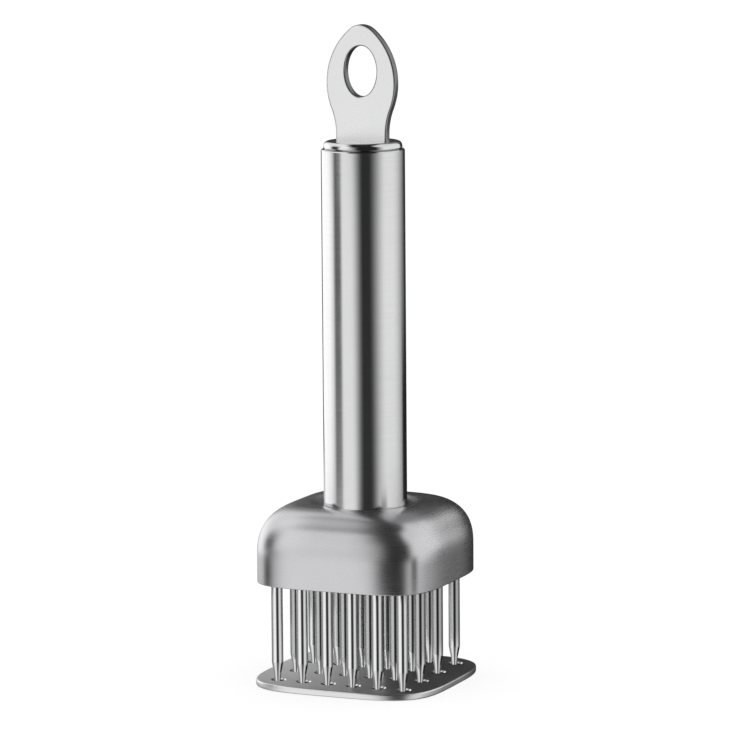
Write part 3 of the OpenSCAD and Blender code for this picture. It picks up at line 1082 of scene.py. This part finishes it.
@dataclass
class HeadShell(Assembly):
    """The pressed shell of the head, one sheet thick and open below."""

    half_width: float = 28.85
    rim_z: float = 31.85
    shoulder_z: float = 39.95
    shoulder_height: float = 15.2
    crest_radius: float = 18.0
    foot_radius: float = 13.0
    dish: float = 1.1
    wall: float = 1.0
    rim_edge: float = 0.3
    power_out: float = 1.8
    power_up: float = 2.6
    fade: float = 0.2
    steps: int = 192
    shoulder_steps: int = 40
    dish_steps: int = 10

    def build(self) -> None:
        """Makes the shell."""
        piece = Workpiece()
        outer = self.face(0.0)
        inner = self.face(self.wall)
        first, last = piece.stack(outer + self.rim() + inner[::-1])
        bmesh.ops.bridge_loops(piece.mesh, edges=piece.edges(first) + piece.edges(last))
        shell = piece.hand_over("head_shell", HEAD_STEEL)
        # Not mirrored in the foot of the tube
        shell.visible_glossy = False

    def face(self, inset: float) -> list[Ring]:
        """Draws the outer or the inner face.

        Args:
            inset: How far inside the outer face it lies.

        Returns:
            Its rings, from the hole under the tube to the skirt.
        """
        crest_z = self.shoulder_z + self.shoulder_height - inset
        rings = [squircle(self.layout.tube_bore, 2, crest_z - self.dish, self.steps)]
        for i in range(self.dish_steps):
            share = 1 - i / self.dish_steps
            radius = self.crest_radius + (self.foot_radius - self.crest_radius) * share
            drop = self.dish * (1 - math.cos(math.pi * share)) / 2
            rings.append(squircle(radius, 2, crest_z - drop, self.steps))
        for i in range(self.shoulder_steps + 1):
            angle = math.pi / 2 * (1 - i / self.shoulder_steps)
            out = max(math.cos(angle), 0.0) ** (2 / self.power_out)
            up = math.sin(angle) ** (2 / self.power_up)
            half = self.crest_radius + (self.half_width - inset - self.crest_radius) * out
            power = 2 + (self.layout.head_power - 2) * out ** self.fade
            z = self.shoulder_z + (self.shoulder_height - inset) * up
            rings.append(squircle(half, power, z, self.steps))
        return rings

    def rim(self) -> list[Ring]:
        """Rings of the skirt's lower edge, from outside to inside."""
        stations = []
        for i in range(5):
            angle = math.pi / 2 * i / 4
            stations.append((self.rim_edge * (1 - math.cos(angle)),
                             self.rim_edge * (1 - math.sin(angle))))
        across = stations + [(self.wall - inset, z) for inset, z in reversed(stations)]
        skirt = [(self.half_width - inset, self.rim_z + z) for inset, z in across]
        return squared(skirt, self.layout.head_power, self.steps)


@dataclass
class Carrier(Assembly):
    """Needles, the plates that hold them, the pillars and the screws."""

    needle_radius: float = 1.75
    ground_radius: float = 1.15
    tip_radius: float = 0.85
    tip_flat: float = 0.25
    tip_rise: float = 0.12
    needle_low: float = 0.3
    tip_z: float = 1.5
    ground_z: float = 4.3
    ground_step: float = 0.04
    body_z: float = 7.3
    head_radius: float = 2.5
    head_height: float = 1.2
    plate_half: float = 27.75
    plate_z: float = 34.05
    backing_z: float = 37.05
    pillar_z: float = 38.55
    mount_top_z: float = 53.05
    pillar_radius: float = 2.8
    mount_corner: float = 3.4
    screw_hole: float = 1.55
    sink_radius: float = 2.9
    slot_half_width: float = 2.5
    # Straight end that is left in the slot, so that no edge has no length
    slot_flat: float = 0.001
    edge: float = 0.15
    steps: int = 32

    def build(self) -> None:
        """Makes the needles, the three plates, the pillars and the screws."""
        for name, (x, y) in self.layout.needles().items():
            needle = self.needle().move(x, y).hand_over(name, NEEDLE_STEEL)
            # Mirrored neither by the other needles nor by the guard plate
            needle.visible_glossy = False
        self.needle_plate().hand_over("needle_plate", INNER_STEEL)
        self.plate(self.backing_z, self.pillar_z).hand_over("backing_plate", INNER_STEEL)
        self.mounting_plate().hand_over("mounting_plate", INNER_STEEL)
        pillars = self.layout.pillars()
        for corner, (x, y) in pillars.items():
            self.pillar().move(x, y).hand_over(f"pillar_{corner}", INNER_STEEL)
        above = M3_SUNK.fasten(pillars.values(), self.mount_top_z)
        above.hand_over("mounting_screws", SCREW_STEEL)
        end_z = self.plate_z - M3_PAN.head_height
        below = M3_PAN.fasten(pillars.values(), end_z, upright=False)
        below.hand_over("needle_plate_screws", SCREW_STEEL)

    def needle(self) -> Workpiece:
        """A needle with a rounded point, a ground end, a gentle cone and a flat head."""
        wide, high = self.head_radius, self.backing_z
        outline = [
            (0, self.needle_low), (self.tip_flat, self.needle_low + self.tip_rise),
            (self.tip_radius, self.tip_z), (self.ground_radius - self.ground_step, self.ground_z),
            (self.ground_radius, self.ground_z + self.ground_step),
            (self.needle_radius, self.body_z), (self.needle_radius, high - self.head_height),
            (wide, high - self.head_height), (wide, high), (0, high),
        ]
        return Workpiece().lathe(outline, 40, corners={2: 0.2, 5: 0.5, 7: 0.15, 8: 0.15})

    def plate(self, low: float, high: float, holes: Sequence[Sequence[Ring]] = ()) -> Workpiece:
        """A flat plate with the slot for the guide posts, its screw holes and others.

        Args:
            low: Height of its lower face.
            high: Height of its upper face.
            holes: Rings of each other hole.

        Returns:
            The plate.
        """
        slot = [
            rounded_box(self.layout.post_x + size, size, size - self.slot_flat, z, 10)
            for size, z in eased(self.slot_half_width, low, high, -self.edge)
        ]
        bores = [turned(eased(self.screw_hole, low, high, -self.edge), self.steps, x, y)
                 for x, y in self.layout.pillars().values()]
        side = squared(eased(self.plate_half, low, high, self.edge), self.layout.head_power, 128)
        return Workpiece().block(side, through=[slot, *bores, *holes])

    def needle_plate(self) -> Workpiece:
        """The plate with a stepped hole for each needle."""
        low, high = self.plate_z, self.backing_z
        seat = high - self.head_height
        gap = self.layout.clearance
        bore, wide = self.needle_radius + gap, self.head_radius + gap
        stations = ((bore + self.edge, low), (bore, low + self.edge), (bore, seat),
                    (wide, seat), (wide, high))
        return self.plate(low, high, [turned(stations, self.steps, x, y)
                                      for x, y in self.layout.needles().values()])

    def mounting_plate(self) -> Workpiece:
        """The plate that the neck clamps under the head's crest."""
        low, high = self.layout.mount_z, self.mount_top_z
        half_x, half_y = (reach + self.mount_corner for reach in self.layout.pillar)
        side = [
            rounded_box(half_x + size, half_y + size, self.mount_corner + size, z)
            for size, z in eased(0.0, low, high, self.edge)
        ]
        bore = turned(eased(self.layout.tube_bore, low, high, -self.edge), 96)
        sink = ((self.screw_hole, low), (self.screw_hole, high - M3_SUNK.head_height),
                (self.sink_radius, high))
        sinks = [turned(sink, self.steps, x, y) for x, y in self.layout.pillars().values()]
        return Workpiece().block(side, through=[bore, *sinks])

    def pillar(self) -> Workpiece:
        """A turned tube that spaces the plates."""
        outline = [
            (self.screw_hole, self.pillar_z), (self.pillar_radius, self.pillar_z),
            (self.pillar_radius, self.layout.mount_z), (self.screw_hole, self.layout.mount_z),
        ]
        return Workpiece().lathe(outline, 48, closed=True, corners={1: 0.2, 2: 0.2})


@dataclass
class Neck(Assembly):
    """What joins the head to the handle and guides the posts."""

    flange_radius: float = 15.0
    flange_z: float = 48.55
    flange_edge: float = 0.3
    plug_chamfer: float = 0.4
    top_z: float = 62.05
    bush_radius: float = 2.55
    bush_bore: float = 1.55
    bush_flange: float = 3.55
    bush_low: float = 47.55
    buffer_bore: float = 7.67
    buffer_edge: float = 0.15

    def build(self) -> None:
        """Makes the bushing, its two bushes and the buffer washer."""
        self.bushing().hand_over("neck_bushing", INNER_STEEL)
        for side, (x, y) in self.layout.posts().items():
            self.bush().move(x, y).hand_over(f"guide_bush_{side}", BUSH_POLYMER)
        self.washer().hand_over("buffer_washer", BUFFER_RUBBER)

    def bushing(self) -> Workpiece:
        """A flanged plug with a hole for each bush."""
        plug, chamfer, joint_z = self.layout.plug_radius, self.plug_chamfer, self.layout.mount_z
        stations = eased(self.flange_radius, self.flange_z, joint_z, self.flange_edge)
        stations += [(plug, joint_z), (plug, self.top_z - chamfer), (plug - chamfer, self.top_z)]
        bore = self.bush_radius + self.layout.clearance
        holes = [turned(((bore, self.flange_z), (bore, self.top_z)), 40, x)
                 for x, _ in self.layout.posts().values()]
        return Workpiece().block(turned(stations, 96), through=holes)

    def bush(self) -> Workpiece:
        """A flanged polymer bush."""
        outline = [
            (self.bush_bore, self.bush_low), (self.bush_flange, self.bush_low),
            (self.bush_flange, self.flange_z), (self.bush_radius, self.flange_z),
            (self.bush_radius, self.top_z), (self.bush_bore, self.top_z),
        ]
        return Workpiece().lathe(outline, 48, closed=True, corners={0: 0.15, 1: 0.2, 2: 0.2})

    def washer(self) -> Workpiece:
        """The rubber washer that the yoke lands on."""
        bore, plug, high = self.buffer_bore, self.layout.plug_radius, self.layout.yoke_z
        outline = [(bore, self.top_z), (plug, self.top_z), (plug, high), (bore, high)]
        corners = dict.fromkeys(range(len(outline)), self.buffer_edge)
        return Workpiece().lathe(outline, 96, closed=True, corners=corners)


@dataclass
class Guard(Assembly):
    """The guard plate and all that slides with it."""

    half: float = 29.7
    power: float = 4.0
    thickness: float = 2.0
    edge: float = 0.45
    hole_radius: float = 2.3
    hole_edge: float = 0.06
    lean: float = 0.3
    lean_height: float = 0.6
    sink_radius: float = 1.57
    post_radius: float = 1.5
    post_edge: float = 0.2
    post_top_z: float = 66.55
    screw_bore: float = 0.85
    screw_reach: float = 7.0
    yoke_radius: float = 11.2
    yoke_edge: float = 0.3
    boss_radius: float = 7.9
    boss_top_z: float = 69.55
    steps: int = 192

    def build(self) -> None:
        """Makes the plate, its screws, the posts, the yoke and its screws."""
        plate = self.plate().hand_over("guard_plate", PLATE_STEEL, Body.GUARD)
        # Not mirrored in the needles' feet
        plate.visible_glossy = False
        posts = self.layout.posts()
        for side, (x, y) in posts.items():
            self.post().move(x, y).hand_over(f"guide_post_{side}", POST_STEEL, Body.GUARD)
        self.yoke().hand_over("post_yoke", INNER_STEEL, Body.GUARD)
        below = SMALL_SUNK.fasten(posts.values(), 0.0, upright=False)
        below.hand_over("guard_screws", SCREW_STEEL, Body.GUARD)
        above = SMALL_PAN.fasten(posts.values(), self.boss_top_z + SMALL_PAN.head_height)
        above.hand_over("yoke_screws", SCREW_STEEL, Body.GUARD)

    def plate(self) -> Workpiece:
        """The plate with rounded edges, a hole for each needle and two countersinks."""
        side = eased(self.half, 0.0, self.thickness, self.edge, 5)
        holes = [self.needle_hole(x, y) for x, y in self.layout.needles().values()]
        sink = ((self.sink_radius, 0.0), (self.screw_bore, SMALL_SUNK.head_height),
                (self.screw_bore, self.thickness))
        holes += [turned(sink, 32, x) for x, _ in self.layout.posts().values()]
        return Workpiece().block(squared(side, self.power, self.steps), through=holes)

    def needle_hole(self, x: float, y: float) -> list[Ring]:
        """Draws a punched hole, whose upper end leans a little to the right.

        Args:
            x: Its centre to the right.
            y: Its centre to the rear.

        Returns:
            Its rings from the bottom up.
        """
        top, edge, bore = self.thickness, self.hole_edge, self.hole_radius
        upright_top = top - self.lean_height
        eased_low, straight = eased(bore, 0.0, upright_top, -edge)[:4], [(bore, upright_top)]
        lip = [(bore + edge * out, top - edge * down)
               for out, down in ((0.0, 1.0), (0.3, 0.3), (1.0, 0.0))]
        return turned(eased_low + straight, 40, x, y) + turned(lip, 40, x + self.lean, y)

    def post(self) -> Workpiece:
        """A ground post with a screw hole in each end."""
        low, high, bore = self.thickness, self.post_top_z, self.screw_bore
        return Workpiece().block(
            turned(eased(self.post_radius, low, high, self.post_edge), 48),
            from_top=[turned(((bore, high), (bore, high - self.screw_reach)), 24)],
            from_bottom=[turned(((bore, low), (bore, low + self.screw_reach)), 24)],
        )

    def yoke(self) -> Workpiece:
        """The disc that joins the posts, with a boss that centres the spring."""
        low, seat, top = self.layout.yoke_z, self.layout.spring_z, self.boss_top_z
        edge, boss = self.yoke_edge, self.boss_radius
        side = eased(self.yoke_radius, low, seat, edge)
        side += [(boss, seat), (boss, top - edge), (boss - edge, top)]
        socket = self.post_radius + self.layout.clearance
        bore = ((socket, low), (socket, self.post_top_z),
                (self.screw_bore, self.post_top_z), (self.screw_bore, top))
        holes = [turned(bore, 40, x) for x, _ in self.layout.posts().values()]
        return Workpiece().block(turned(side, 96), through=holes)


@dataclass
class Spring(Assembly):
    """The return spring and the rod that it bears on."""

    wire_radius: float = 0.8
    coil_radius: float = 9.0
    length: float = 60.0
    turns: int = 10
    end_pitch: float = 1.85
    squeezed: float = 35.0
    steps_per_turn: int = 40
    wire_steps: int = 12
    seat_radius: float = 10.3
    seat_top_z: float = 130.05
    rod_radius: float = 4.0
    stud_radius: float = 2.5
    stud_top_z: float = 152.05
    pilot_radius: float = 6.0
    pilot_low_z: float = 100.67

    def build(self) -> None:
        """Makes the spring, with a mesh of its own, and its rod."""
        spring = self.coil().hand_over("return_spring", WIRE_STEEL)
        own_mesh(spring)
        self.rod().hand_over("spring_rod", INNER_STEEL)

    def coil(self) -> Workpiece:
        """A wire section swept up a helix, with a closed turn at each end."""
        piece = Workpiece()
        bm = piece.mesh
        made = bmesh.ops.create_circle(bm, cap_ends=True, segments=self.wire_steps,
                                       radius=self.wire_radius)["verts"]
        bmesh.ops.rotate(bm, verts=made, cent=(0, 0, 0),
                         matrix=Matrix.Rotation(math.pi / 2, 3, "X"))
        bmesh.ops.translate(bm, verts=made,
                            vec=(self.coil_radius, 0, self.layout.spring_z + self.wire_radius))
        open_turns = self.turns - 2
        rise = self.length - 2 * self.wire_radius - 2 * self.end_pitch
        geom = bm.faces[:]
        for turns, height in ((1, self.end_pitch), (open_turns, rise), (1, self.end_pitch)):
            steps = turns * self.steps_per_turn
            geom = bmesh.ops.spin(
                bm, geom=geom, cent=(0, 0, 0), axis=(0, 0, 1), dvec=(0, 0, height / steps),
                angle=math.tau * turns, steps=steps, use_merge=False, use_duplicate=False,
            )["geom_last"]
        return piece

    def rod(self) -> Workpiece:
        """The turned rod: a pilot inside the coil, the seat and a stud for the cap."""
        seat, shoulder = self.layout.spring_z + self.length, self.layout.cap_plug_z
        outline = [
            (0, self.pilot_low_z), (self.pilot_radius, self.pilot_low_z),
            (self.pilot_radius, seat), (self.seat_radius, seat),
            (self.seat_radius, self.seat_top_z), (self.rod_radius, self.seat_top_z),
            (self.rod_radius, shoulder), (self.stud_radius, shoulder),
            (self.stud_radius, self.stud_top_z), (0, self.stud_top_z),
        ]
        return Workpiece().lathe(outline, 64, corners={1: 0.6, 3: 0.25, 4: 0.25, 8: 0.3})


HARD = (1.0, 1.0)
# Elevations that the needles and the guard plate's rim mirror
LOW_ROOM = (-90.0, -10.6)
# Elevations that only the handle mirrors
LEVEL_STRIP = (-10.6, -4.6)


@dataclass(frozen=True)
class Card:
    """A soft-edged card of the studio, by the directions that it fills, in degrees.

    Azimuth 0 is in front of the tool, where -Y points, 90 is at its right and 180 behind it.
    A card whose azimuth is None goes all the way round.
    """

    level: float
    azimuth: Span | None
    elevation: Span
    blur_sides: Span = (20.0, 20.0)
    blur_ends: Span = (12.0, 12.0)
    cover: float = 1.0


@dataclass(frozen=True)
class Panel:
    """A soft-edged cloth on a stand, seen by metal only, in millimetres.

    It faces the azimuth in which it stands, and its sides are measured from its middle. A panel
    with part cover, such as the painted shade round the inner needles, holds back only part, and
    if it is one-way, it only holds back what it has behind it.
    """

    name: str
    foot: Place
    turned: float
    sides: Span
    heights: Span
    blur_sides: Span
    blur_ends: Span
    level: float
    cover: float = 1.0
    one_way: bool = False


@dataclass
class Studio:
    """Camera, floor and the light that comes from all round."""

    camera_azimuth: float = 23.306
    camera_elevation: float = 8.096
    camera_roll: float = -0.435
    camera_distance: float = 1.32145
    target: tuple[float, float, float] = (0.0, 0.0, 0.1)
    focal_pixels: float = 4358.4
    target_pixel: tuple[float, float] = (364.4, 354.3)
    sensor_mm: float = 36.0
    clip: Span = (0.05, 50.0)
    floor_half: float = 30.0
    floor_colour: str = "#9A9A9A"
    floor_glow: float = 0.75
    diffuse_level: float = 0.9
    ambient: float = 0.02
    panels: list[Panel] = field(default_factory=lambda: [
        # Dark, behind, for the right of the crown
        Panel("back_flag", (0, 130), 180, (-85, 64), (-200, 85), (40, 50), (1, 50), 0.02),
        Panel("crown_flag", (0, 60), 180, (-28, 26), (48, 92), (12, 14), (8, 30), 0.02),
        # Dark, low at the front right, for the head's corner
        Panel("corner_flag", (72, -52), 60, (-24, 26), (19, 38), (24, 20), (4, 12), 0.02),
        Panel("skirt_flag", (72, -52), 60, (16, 42), (17, 42), (12, 20), (4, 12), 0.02),
        Panel("front_flag", (18, -75), 0, (-10, 40), (19, 40), (24, 20), (4, 12), 0.02),
        # Dark, low at the front left, for the head's left edge
        Panel("left_flag", (-58, -41), -70, (-9, 9), (21, 36), (12, 12), (4, 10), 0.02),
        # Low behind: pale for the left of the guard plate, dark for its right
        Panel("low_card", (0, 120), 180, (52, 200), (-5, 42), (60, 20), (1, 16), 0.66),
        Panel("low_flag", (0, 62), 180, (-38, 24), (-5, 27), (20, 36), (1, 12), 0.01),
        # Painted shade: one-way dark sheets round the inner needles, which stand in for the shade
        # that the outer needles cast on them
        Panel("front_needle_shade", (0, -13.7), 0, (-29, 29), (2, 33), (2, 2), (1, 1), 0.0, 0.42, True),
        Panel("left_needle_shade", (-27, 0), -90, (-29, 13.7), (16, 33), (2, 2), (8, 1), 0.0, 0.42, True),
        Panel("right_needle_shade", (27, 0), 90, (-13.7, 29), (8, 33), (2, 2), (8, 1), 0.0, 0.42, True),
    ])
    cards: list[Card] = field(default_factory=lambda: [
        # Pale sheet from behind left round to the front, and a window at the left in it
        Card(1.0, (-146, -9), (-90, 64), (34, 40), (1, 14)),
        Card(1.42, (-136, -92), (-90, 22), (24, 20), (1, 30)),
        Card(1.15, (-54, -24), (4, 48), (16, 8), (14, 12)),
        # Gap between window and front
        Card(0.05, (-81, -52), (-90, 28), (18, 16), (1, 34)),
        # Sheet at the right
        Card(1.0, (76, 162), (-90, 66), (32, 12), (1, 14)),
        Card(0.9, (68, 160), (36, 64), (30, 12), (20, 14)),
        # Dark wall behind, grey above
        Card(0.05, (165, 212), (-90, 72), (10, 22), (1, 12)),
        Card(0.28, (163, 212), (22, 74), (12, 18), (18, 10)),
        Card(0.95, (146, 167), (12, 38), (8, 8), (8, 14)),
        # Dark ceiling over the front
        Card(0.02, (-46, 25), (49, 90), (18, 30), (16, 1)),
        Card(0.02, (-20, 32), (30, 90), (20, 30), (30, 1)),
        Card(1.1, (-102, -64), (44, 68), (16, 14), (14, 8)),
        # Low room that the needles and the guard plate's rim mirror
        Card(0.22, None, LOW_ROOM, HARD, HARD),
        Card(0.28, (-190, -64), LOW_ROOM, (20, 60), HARD),
        Card(0.04, (10, 50), LOW_ROOM, (12, 16), HARD),
        Card(1.15, (-60, 2), LOW_ROOM, (40, 20), HARD),
        Card(0.9, (58, 106), LOW_ROOM, (22, 40), HARD),
        # Grey below it for the needles' feet, dark at the right for the left sides of the holes
        Card(0.4, None, (-90, -19), HARD, (1, 6), 0.25),
        Card(0.02, (104, 190), (-46, -20), (16, 12), (8, 6)),
        Card(0.02, (24, 112), (-52, -37), (14, 14), (5, 3)),
        # Level strip that only the handle mirrors
        Card(0.035, None, LEVEL_STRIP, HARD, HARD),
        Card(1.05, (-133, 4), LEVEL_STRIP, (6, 36), HARD),
        Card(1.42, (-128, -78), LEVEL_STRIP, (8, 20), HARD),
        Card(0.15, (-66, -41), LEVEL_STRIP, (14, 12), HARD),
        Card(1.05, (62, 142), LEVEL_STRIP, (50, 70), HARD),
    ])

    def build(self) -> None:
        """Sets up the camera, the floor, the panels and the world."""
        self.camera()
        self.floor()
        for panel in self.panels:
            self.stand_panel(panel)
        self.world()
        view = bpy.context.scene.view_settings
        view.view_transform = "Standard"

    def camera(self) -> None:
        """A long lens, where the photograph was taken from."""
        azimuth, elevation = math.radians(self.camera_azimuth), math.radians(self.camera_elevation)
        back = Vector((
            math.sin(azimuth) * math.cos(elevation),
            -math.cos(azimuth) * math.cos(elevation),
            math.sin(elevation),
        ))
        data = bpy.data.cameras.new("long_lens")
        data.sensor_width = self.sensor_mm
        data.lens = self.focal_pixels / IMAGE_SIDE * self.sensor_mm
        data.shift_x = 0.5 - self.target_pixel[0] / IMAGE_SIDE
        data.shift_y = self.target_pixel[1] / IMAGE_SIDE - 0.5
        data.clip_start, data.clip_end = self.clip
        camera = in_scene("long_lens", data)
        place = Matrix.Translation(Vector(self.target) + back * self.camera_distance)
        aim = (-back).to_track_quat("-Z", "Y").to_matrix().to_4x4()
        camera.matrix_world = place @ aim @ Matrix.Rotation(
            math.radians(self.camera_roll), 4, "Z")
        bpy.context.scene.camera = camera

    def floor(self) -> None:
        """A pale sweep that shows white to the camera and keeps a faint shadow."""
        floor = self.sheet("studio_floor", self.floor_half)
        floor.visible_glossy = False
        tree = self.cover(floor, "pale_sweep")
        matt = add_node(tree, "BsdfDiffuse", {"Color": linear(self.floor_colour)})
        glow = add_node(tree, "Emission", {"Color": WHITE, "Strength": self.floor_glow})
        bright = add_node(tree, "AddShader", {0: matt[0], 1: glow[0]})
        seen = add_node(tree, "LightPath")["Is Camera Ray"]
        mixed = add_node(tree, "MixShader", {0: seen, 1: matt[0], 2: bright[0]})
        add_node(tree, "OutputMaterial", {"Surface": mixed[0]})

    def stand_panel(self, panel: Panel) -> None:
        """Stands one panel up, which fades out at its edges.

        Args:
            panel: The panel.
        """
        size = max(abs(value) for value in panel.sides + panel.heights)
        sheet = self.sheet(panel.name, (size + max(panel.blur_sides)) * MM)
        sheet.location = (panel.foot[0] * MM, panel.foot[1] * MM, 0)
        sheet.rotation_euler = (math.pi / 2, 0, math.radians(panel.turned))
        self.only_mirrored(sheet)
        tree = self.cover(sheet, panel.name + "_cloth")
        place = add_node(tree, "TexCoord")["Object"]
        axes = add_node(tree, "SeparateXYZ", {0: place})
        share: NodeSocket | float = panel.cover
        for axis, edges, blurs in ((0, panel.sides, panel.blur_sides),
                                   (1, panel.heights, panel.blur_ends)):
            share = between(tree, axes[axis], share, MM, edges, blurs)
        if panel.one_way:
            behind = add_node(tree, "NewGeometry")["Backfacing"]
            share = add_node(tree, "Math", {0: share, 1: behind}, operation="MULTIPLY")[0]
        clear = add_node(tree, "BsdfTransparent")
        cloth = add_node(tree, "Emission", {"Color": WHITE, "Strength": panel.level})
        mixed = add_node(tree, "MixShader", {0: share, 1: clear[0], 2: cloth[0]})
        add_node(tree, "OutputMaterial", {"Surface": mixed[0]})

    @staticmethod
    def sheet(name: str, half: float) -> Object:
        """Makes a square sheet of the studio, lying level.

        Args:
            name: Its name.
            half: Half its width in metres.

        Returns:
            The sheet.
        """
        bm = bmesh.new()
        bmesh.ops.create_grid(bm, x_segments=1, y_segments=1, size=half)
        data = bpy.data.meshes.new(name)
        bm.to_mesh(data)
        bm.free()
        made = in_scene(name, data)
        made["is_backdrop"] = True
        return made

    @staticmethod
    def only_mirrored(sheet: Object) -> None:
        """Hides a sheet from all but the reflections in metal."""
        sheet.visible_camera = False
        sheet.visible_diffuse = False
        sheet.visible_shadow = False

    @staticmethod
    def cover(sheet: Object, name: str) -> NodeTree:
        """The empty node tree of a new material on a sheet."""
        sheet.data.materials.append(blank_material(name))
        return sheet.data.materials[0].node_tree

    def world(self) -> None:
        """White to the camera, soft cards in a dark room to metal, and even light to the rest."""
        world = bpy.data.worlds.new("studio")
        bpy.context.scene.world = world
        world.use_nodes = True
        tree = world.node_tree
        tree.nodes.clear()
        way = add_node(tree, "TexCoord")["Generated"]
        axes = add_node(tree, "SeparateXYZ", {0: way})
        front = add_node(tree, "Math", {0: axes[1], 1: -1.0}, operation="MULTIPLY")[0]
        azimuth = add_node(tree, "Math", {0: axes[0], 1: front}, operation="ARCTAN2")[0]
        elevation = add_node(tree, "Math", {0: axes[2]}, operation="ARCSINE")[0]
        level: NodeSocket | float = self.ambient
        for card in self.cards:
            level = self.hang(tree, card, azimuth, elevation, level)
        path = add_node(tree, "LightPath")
        shaders = [
            add_node(tree, "Background", {"Color": WHITE, "Strength": strength})
            for strength in (self.diffuse_level, level, 1.0)
        ]
        mixed = shaders[0]
        for seen, shader in zip(("Is Glossy Ray", "Is Camera Ray"), shaders[1:]):
            mixed = add_node(tree, "MixShader", {0: path[seen], 1: mixed[0], 2: shader[0]})
        add_node(tree, "OutputWorld", {"Surface": mixed[0]})

    def hang(
        self,
        tree: NodeTree,
        card: Card,
        azimuth: NodeSocket,
        elevation: NodeSocket,
        behind: NodeSocket | float,
    ) -> NodeSocket:
        """Hangs one card in front of what is there.

        Args:
            tree: The world's node tree.
            card: The card.
            azimuth: The direction looked in, round the tool.
            elevation: The direction looked in, above the horizon.
            behind: Brightness of what is there.

        Returns:
            The brightness with the card.
        """
        degree = math.radians(1)
        share = between(tree, elevation, card.cover, degree, card.elevation, card.blur_ends)
        if card.azimuth:
            start, end = card.azimuth
            middle, half = (start + end) / 2, (end - start) / 2
            off = add_node(tree, "Math", {0: azimuth, 1: middle * degree}, operation="SUBTRACT")
            limits = {0: off[0], 1: math.pi, 2: -math.pi}
            aside = add_node(tree, "Math", limits, operation="WRAP")[0]
            share = between(tree, aside, share, degree, (-half, half), card.blur_sides)
        return add_node(tree, "Mix", {0: share, 2: behind, 3: card.level}, data_type="FLOAT")[0]


def corners() -> list[list[float]]:
    """The shown object's box as plain numbers."""
    return [list(corner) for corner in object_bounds()]


def main() -> None:
    """Builds the studio and every sub-assembly round the CAD frame."""
    logging.basicConfig(level=logging.INFO, format="%(name)s: %(message)s")
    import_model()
    Studio().build()
    for assembly in (HeadShell, Carrier, Neck, Guard, Spring, Handle):
        assembly().build()


if __name__ == "__main__":
    main()
